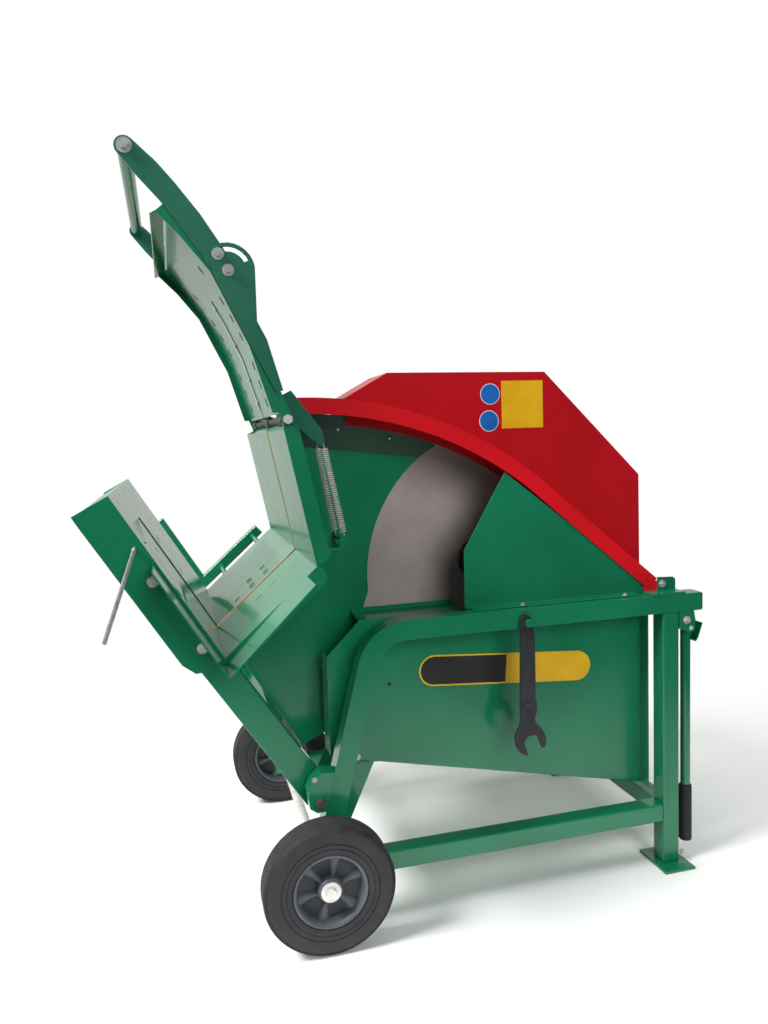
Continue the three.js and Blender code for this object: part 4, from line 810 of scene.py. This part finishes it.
class SAW_OT_springs(bpy.types.Operator):
    """The two tension springs of the hold-down"""

    bl_idname = "rocker_saw.springs"
    bl_label = "Springs"

    def execute(self, context):
        chosen = context.scene.rocker_saw_springs
        tree = spring_tree(MATERIALS["wire"])
        neck = mm(SPRING_HOOK)
        for i, (y, top_x, low_x) in enumerate(SPRING_LINES):
            top, low = at(top_x, y, SPRING_TOP), at(low_x, y, SPRING_LOW)
            way = (low - top).normalized()
            values = {
                "Curls": float(chosen.curls), "Wire Radius": chosen.wire,
                "Length": (low - top).length - 2 * neck}
            piece = run_tree("coil_%d" % (i + 1), bpy.data.meshes.new("empty"), tree, values,
                             MATERIALS["wire"], None, 60)
            turn = Vector((0, 0, 1)).rotation_difference(way).to_matrix().to_4x4()
            piece.data.transform(Matrix.Translation(top + way * neck) @ turn)
            bm = bmesh.new()
            bm.from_mesh(piece.data)
            for end, start in ((top, top + way * (neck + mm(2))), (low, low - way * (neck + mm(2)))):
                straight_wire(bm, end, start + Vector((0, mm(4), 0)), chosen.wire)
                straight_wire(bm, end, start - Vector((0, mm(4), 0)), chosen.wire)
            bm.to_mesh(piece.data)
            bm.free()
            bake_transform(piece)
            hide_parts("spring_%d" % (i + 1))
        return {"FINISHED"}


class SAW_OT_signs(bpy.types.Operator):
    """Plain film patches on the hood and the housing"""

    bl_idname = "rocker_saw.signs"
    bl_label = "Film Patches"

    def execute(self, context):
        def disc(x, z, r):
            return [(x + dx, z + dz) for dx, dz in (around(r, a * math.pi / 20) for a in range(40))]

        for i, (x, z) in enumerate(((691.6, 1078), (687.8, 1019.5))):
            bm = bmesh.new()
            prism(bm, disc(x, z, 23), 124.7, 124.95)
            settle(bm, "film_rim_%d" % (i + 1), "pale", "frame")
            bm = bmesh.new()
            prism(bm, disc(x, z, 21.4), 124.45, 124.7)
            settle(bm, "film_disc_%d" % (i + 1), "blue", "frame")
        bm = bmesh.new()
        prism(bm, [(718, 1002), (817, 1002), (817, 1106), (718, 1106)], 124.55, 124.95)
        settle(bm, "film_panel", "yellow", "frame")

        tilt = math.atan2(461 - 492, 901 - 495)

        def capsule(x0, x1, r, square=None):
            """A round-ended band along the housing, with one end cut square."""
            points = []
            for cx, start, end in ((x1 - r, -90, "right"), (x0 + r, 90, "left")):
                cz = 492 + (cx - 495) * math.tan(tilt)
                if end == square:
                    corner = r if end == "right" else -r
                    turned = ((corner, -corner), (corner, corner))
                else:
                    turned = [around(r, math.radians(start + 10 * k)) for k in range(19)]
                for dx, dz in turned:
                    points.append((cx + dx * math.cos(tilt) - dz * math.sin(tilt),
                                   cz + dx * math.sin(tilt) + dz * math.cos(tilt)))
            return points

        for name, key, x0, x1, r, square, y in (
            ("plate_back", "yellow", 495, 901, 34, None, 77.5),
            ("plate_dark", "ink", 498.5, 695, 30.5, "right", 77.2),
        ):
            bm = bmesh.new()
            prism(bm, capsule(x0, x1, r, square), y, HOUSING_FACE)
            settle(bm, name, key, "frame")
        return {"FINISHED"}


WRENCH_LINE = [
    (692, 604), (695, 610), (702, 615), (710, 612), (716, 606), (718, 603), (711, 605), (704, 604),
    (702, 599), (705, 594), (711, 592), (716, 594), (720, 596), (720, 588), (722, 577), (724, 566),
    (722, 435), (726, 424), (727, 410), (725, 398), (720, 388), (725, 378), (734, 368), (742, 356),
    (747, 341), (746, 329), (743, 323), (738, 321), (735, 325), (729, 343), (726, 349), (718, 353),
    (710, 352), (703, 349), (698, 342), (696, 335), (704, 314), (704, 310), (699, 310), (690, 315),
    (682, 324), (677, 335), (675, 348), (676, 359), (681, 368), (686, 377), (688, 389),
]
WRENCH_SHANK = [
    (693.5, 436), (722, 436), (724, 448), (724, 566), (721, 577), (718, 580), (692, 580), (691, 448),
]
WRENCH_EYE = (707, 406.5)


def round_line(x, z, r, count=32):
    """A round outline about a drawing place."""
    ring = [around(r, 2 * math.pi * k / count) for k in range(count)]
    return [(x + dx, z + dz) for dx, dz in ring]


class SAW_OT_wrench(bpy.types.Operator):
    """The open-jawed wrench on its peg"""

    bl_idname = "rocker_saw.wrench"
    bl_label = "Wrench"

    def execute(self, context):
        bm = bmesh.new()
        prism(bm, WRENCH_LINE, -9.4, -5.2)
        # The handle and the eye are bent forward of the jaw
        prism(bm, WRENCH_SHANK, -10.6, -9.3)
        prism(bm, round_line(*WRENCH_EYE, 18.4), -10.6, -9.3)
        soften(bm, mm(0.5))
        piece = settle(bm, "wrench_blade", "black", "wrench")
        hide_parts("wrench")
        # A flat darker hexagon on the eye: painted shade for the hexagon recess
        bm = bmesh.new()
        prism(bm, round_line(*WRENCH_EYE, 8.2, 6), -10.9, -10.4)
        settle(bm, "wrench_recess_shade", "ink", "wrench")
        return {"FINISHED"}


class SAW_OT_small_parts(bpy.types.Operator):
    """Hinge tube, pivot ends, arch brackets, handle hooks and a dark disc of painted shade for the hole in
    the housing
    """

    bl_idname = "rocker_saw.small_parts"
    bl_label = "Small Parts"

    def execute(self, context):
        bm = bmesh.new()
        prism(bm, round_line(*HINGE, 8), -34, 477)
        settle(bm, "hinge_tube", "shade", "rocker", smooth=50)
        # The tongue leaves room for the arch when the rocker swings in
        for name, line, spans, body in (
            ("hinge_seat", [(211.2, 1011.6), (213.8, 1011.6), (221.4, 1023.6), (218, 1023.6)],
             ((-34, 198), (212, 476)), "rocker"),
            ("hinge_tongue", [(206.4, 1042.8), (208.8, 1043.6), (218.2, 1039.6), (215.6, 1039)],
             ((-34, 34), (132, 198), (212, 476)), "hold_down"),
        ):
            bm = bmesh.new()
            for y0, y1 in spans:
                prism(bm, line, y0, y1)
            settle(bm, name, "green", body)
        bm = bmesh.new()
        for y0, y1 in ((-33, 60), (176, 236), (420, 476)):
            prism(bm, round_line(*HINGE, 10.4), y0, y1)
        settle(bm, "hinge_bushes", "black", "rocker", smooth=50)
        bm = bmesh.new()
        prism(bm, round_line(*PIVOT, 9.4), -13.8, -12.4)
        prism(bm, round_line(*PIVOT, 9.4), 595.4, 596.8)
        settle(bm, "pivot_ends", "worn", "frame", smooth=50)
        bm = bmesh.new()
        prism(bm, [(1010, 623.6), (1094, 623.6), (1094, 628.4), (1010, 628.4)], -0.6, 40.6)
        prism(bm, [(1049, 627.8), (1094, 627.8), (1094, 650), (1088, 656), (1049, 658)], 36.3, 39.7)
        soften(bm, mm(0.8))
        settle(bm, "arch_bracket", "green", "frame")
        bm = bmesh.new()
        cheek = [(1079, 583.4), (1116, 583.4), (1120, 560), (1117, 537), (1102, 534), (1079, 547)]
        for y in (-1, 542):
            for near in (y, y + 39):
                prism(bm, cheek, near, near + 3)
            prism(bm, [(1079, 580.4), (1091, 580.4), (1091, 583.4), (1079, 583.4)], y + 2.9, y + 39.1)
        soften(bm, mm(0.8))
        piece = settle(bm, "handle_cheeks", "green", "frame")
        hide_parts("handle_bracket_near", "handle_bracket_far")
        bm = bmesh.new()
        for y in (-2.4, 540.6):
            prism(bm, round_line(PUSH_X, PUSH_Z, 5), y, y + 45)
        settle(bm, "handle_pins", "zinc", "frame", smooth=50)
        for side, inner, outer in (("near", (29, 32), (8, 29.1)), ("far", (551, 554), (553.9, 575))):
            bm = bmesh.new()
            prism(bm, [(1124, 558), (1145, 551), (1133, 517), (1127, 510), (1108, 517), (1108, 556)], *inner)
            prism(bm, [(1145, 551), (1133, 517), (1127, 510), (1108, 517), (1108.8, 520), (1126.3, 513.4),
                       (1130.4, 518.2), (1142.1, 552)], *outer)
            settle(bm, "handle_hook_" + side, "green", "push_handle_" + side)
        # A thin dark disc over the housing's hole: painted shade inside the hole
        bm = bmesh.new()
        prism(bm, round_line(428, 471, 4), 77.6, 78.1)
        settle(bm, "housing_hole_shade", "ink", "frame")
        return {"FINISHED"}


# Radius and height of the push handles' tubes and grips
TUBE_LINE = [(0, 176), (10.5, 176), (11, 177), (11, 534), (9, 540), (0, 540)]
GRIP_LINE = [
    (0, 43.5), (12.5, 43.5), (14.2, 45.5), (14.4, 50), (14.4, 168), (13.6, 174), (11.2, 176.2), (0, 176.2),
]


class SAW_OT_handles(bpy.types.Operator):
    """Painted push handles with rubber grips"""

    bl_idname = "rocker_saw.handles"
    bl_label = "Push Handles"

    def execute(self, context):
        for side, y in PUSH_Y.items():
            body = "push_handle_" + side
            bm = bmesh.new()
            rings_up(bm, PUSH_X, y, TUBE_LINE, 28)
            prism(bm, round_line(PUSH_X, PUSH_Z, 14), y - 5, y + 5)
            tube = settle(bm, "handle_tube_" + side, "green", body)
            bm = bmesh.new()
            rings_up(bm, PUSH_X, y, GRIP_LINE, 32)
            settle(bm, "handle_grip_" + side, "grip", body)
            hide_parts(body)
        return {"FINISHED"}


def rings_up(bm, x, y, profile, steps):
    """A closed turned shape about an upright line, from rows of (radius, z) that start and end on it."""
    rings = []
    for r, z in profile:
        count = 1 if r == 0 else steps
        rings.append([
            bm.verts.new(at(x + dx, y + dy, z))
            for dx, dy in (around(r, 2 * math.pi * k / steps) for k in range(count))
        ])
    for a, b in zip(rings, rings[1:]):
        for k in range(steps):
            j = (k + 1) % steps
            if len(a) == 1:
                bm.faces.new((a[0], b[k], b[j]))
            elif len(b) == 1:
                bm.faces.new((a[k], b[0], a[j]))
            else:
                bm.faces.new((a[k], b[k], b[j], a[j]))


class SAW_OT_caps(bpy.types.Operator):
    """Plastic caps in the tube ends"""

    bl_idname = "rocker_saw.caps"
    bl_label = "End Caps"

    def execute(self, context):
        for i, y in enumerate((FRAME_NEAR, FRAME_FAR)):
            bm = bmesh.new()
            prism(bm, [(1136.6, 585), (1139.5, 586), (1139.5, 621), (1136.6, 622)], y + 1.5, y + 38.5)
            soften(bm, mm(0.6))
            settle(bm, "rail_cap_%d" % (i + 1), "black", "frame")
        return {"FINISHED"}


FLOOR_HALF = 6
FLOOR_THINS_FROM, FLOOR_GONE_AT = 0.7, 2.2
# The bright wall's direction, as the photograph's reflections show it
WALL_WAY = (-0.1, 0.85, 0.5)
# Name, place, aim, size and power of each lamp
LAMPS = (
    ("key", (-3.4, -0.9, 4.0), (-0.1, 0, 0.8), 1.8, 330),
    ("fill", (0.6, -4.6, 2.4), (0.1, 0, 0.7), 2.4, 110),
    ("top", (0.2, 0.6, 4.6), (0, 0, 0.6), 3.0, 40),
)
# The camera worked out from the photograph: lens on a 36 mm sensor, place and axes
CAMERA_LENS = 28.07
CAMERA_PLACE = (7.8, -1517.5, 994.3)
CAMERA_RIGHT = (0.96529, -0.25882, -0.03504)
CAMERA_UP = (0.05817, 0.08223, 0.99491)
CAMERA_BACK = (-0.25462, -0.96242, 0.09443)


class SAW_OT_stage(bpy.types.Operator):
    """Pale floor, soft light and the camera of the photograph"""

    bl_idname = "rocker_saw.stage"
    bl_label = "Stage"

    def execute(self, context):
        scene = context.scene
        mesh = bpy.data.meshes.new("floor")
        corners = [(x * FLOOR_HALF, y * FLOOR_HALF, 0) for x, y in ((-1, -1), (1, -1), (1, 1), (-1, 1))]
        mesh.from_pydata(corners, [], [(0, 1, 2, 3)])
        floor = bpy.data.objects.new("floor", mesh)
        scene.collection.objects.link(floor)
        material, tree = new_material("Pale floor")
        body = add(tree, "ShaderNodeBsdfPrincipled", {"Base Color": linear("f7f7f6"), "Roughness": 0.9})
        # The floor thins out round the object, so no edge of it shows
        reach = add(tree, "ShaderNodeVectorMath", {
            0: add(tree, "ShaderNodeTexCoord").outputs["Object"]}, operation="LENGTH").outputs["Value"]
        gone = add(tree, "ShaderNodeBsdfTransparent")
        thin = add(tree, "ShaderNodeMixShader", {
            0: fade(tree, reach, FLOOR_THINS_FROM, FLOOR_GONE_AT, 0.0, 1.0),
            1: body.outputs["BSDF"], 2: gone.outputs["BSDF"]})
        shader_out(tree, thin.outputs["Shader"])
        mesh.materials.append(material)

        world = bpy.data.worlds.new("Room")
        scene.world = world
        world.use_nodes = True
        sky = world.node_tree
        sky.nodes.clear()
        # A dim room with a pale wall behind the object and a bright ceiling, before white paper
        way = add(sky, "ShaderNodeTexCoord").outputs["Generated"]
        depth = add(sky, "ShaderNodeVectorMath", {
            0: way, 1: WALL_WAY}, operation="DOT_PRODUCT").outputs["Value"]
        walls = ramp(sky, fade(sky, depth, -1.0, 1.0, 0.0, 1.0), [
            (0.0, "3a3d3f"), (0.45, "63676a"), (0.72, "b3bab2"), (0.88, "c9cec6"), (1.0, "eceeec")])
        seen = add(sky, "ShaderNodeLightPath").outputs["Is Camera Ray"]
        room = add(sky, "ShaderNodeMix", {
            "Factor": seen, 6: walls, 7: linear("ffffff")}, data_type="RGBA").outputs[2]
        light = add(sky, "ShaderNodeBackground", {"Color": room, "Strength": scene.rocker_saw_stage.sky})
        add(sky, "ShaderNodeOutputWorld", {"Surface": light.outputs[0]})

        for name, place, aim, size, power in LAMPS:
            lamp = bpy.data.lights.new(name, "AREA")
            lamp.shape = "DISK"
            lamp.size = size
            lamp.energy = power
            holder = bpy.data.objects.new(name, lamp)
            scene.collection.objects.link(holder)
            holder.location = place
            # Only the key light shows in the gloss
            holder.visible_glossy = name == "key"
            holder.rotation_mode = "QUATERNION"
            holder.rotation_quaternion = (Vector(aim) - Vector(place)).to_track_quat("-Z", "Y")

        lens = bpy.data.cameras.new("Photo view")
        lens.sensor_width = 36
        lens.lens = CAMERA_LENS
        camera = bpy.data.objects.new("Photo view", lens)
        scene.collection.objects.link(camera)
        turn = Matrix((CAMERA_RIGHT, CAMERA_UP, CAMERA_BACK)).transposed()
        camera.matrix_world = Matrix.Translation(at(*CAMERA_PLACE)) @ turn.to_4x4()
        scene.camera = camera
        scene.view_settings.view_transform = "Standard"
        return {"FINISHED"}


OPERATORS = (
    SAW_OT_stage,
    SAW_OT_paint,
    SAW_OT_tyres,
    SAW_OT_rims,
    SAW_OT_fasteners,
    SAW_OT_slits,
    SAW_OT_springs,
    SAW_OT_handles,
    SAW_OT_wrench,
    SAW_OT_small_parts,
    SAW_OT_signs,
    SAW_OT_caps,
)


class SAW_PT_panel(bpy.types.Panel):
    """Lists the steps that dress the saw"""

    bl_idname = "SAW_PT_panel"
    bl_label = "Rocker Saw"
    bl_space_type = "VIEW_3D"
    bl_region_type = "UI"
    bl_category = "Rocker Saw"

    def draw(self, context):
        column = self.layout.column()
        for operator in OPERATORS:
            column.operator(operator.bl_idname)
        for group in ("rocker_saw_paint", "rocker_saw_springs", "rocker_saw_stage"):
            settings = getattr(context.scene, group)
            for name in settings.__annotations__:
                column.prop(settings, name)


CLASSES = (RockerSawPaint, RockerSawSprings, RockerSawStage, *OPERATORS, SAW_PT_panel)


def register():
    for item in CLASSES:
        bpy.utils.register_class(item)
    bpy.types.Scene.rocker_saw_paint = PointerProperty(type=RockerSawPaint)
    bpy.types.Scene.rocker_saw_springs = PointerProperty(type=RockerSawSprings)
    bpy.types.Scene.rocker_saw_stage = PointerProperty(type=RockerSawStage)


def unregister():
    for group in ("rocker_saw_stage", "rocker_saw_springs", "rocker_saw_paint"):
        delattr(bpy.types.Scene, group)
    for item in reversed(CLASSES):
        bpy.utils.unregister_class(item)


def main():
    register()
    bpy.ops.rocker_saw.stage()
    bpy.ops.rocker_saw.paint()
    bpy.ops.rocker_saw.tyres()
    bpy.ops.rocker_saw.rims()
    bpy.ops.rocker_saw.fasteners()
    bpy.ops.rocker_saw.slits()
    bpy.ops.rocker_saw.springs()
    bpy.ops.rocker_saw.handles()
    bpy.ops.rocker_saw.wrench()
    bpy.ops.rocker_saw.small_parts()
    bpy.ops.rocker_saw.signs()
    bpy.ops.rocker_saw.caps()


if __name__ == "__main__":
    main()
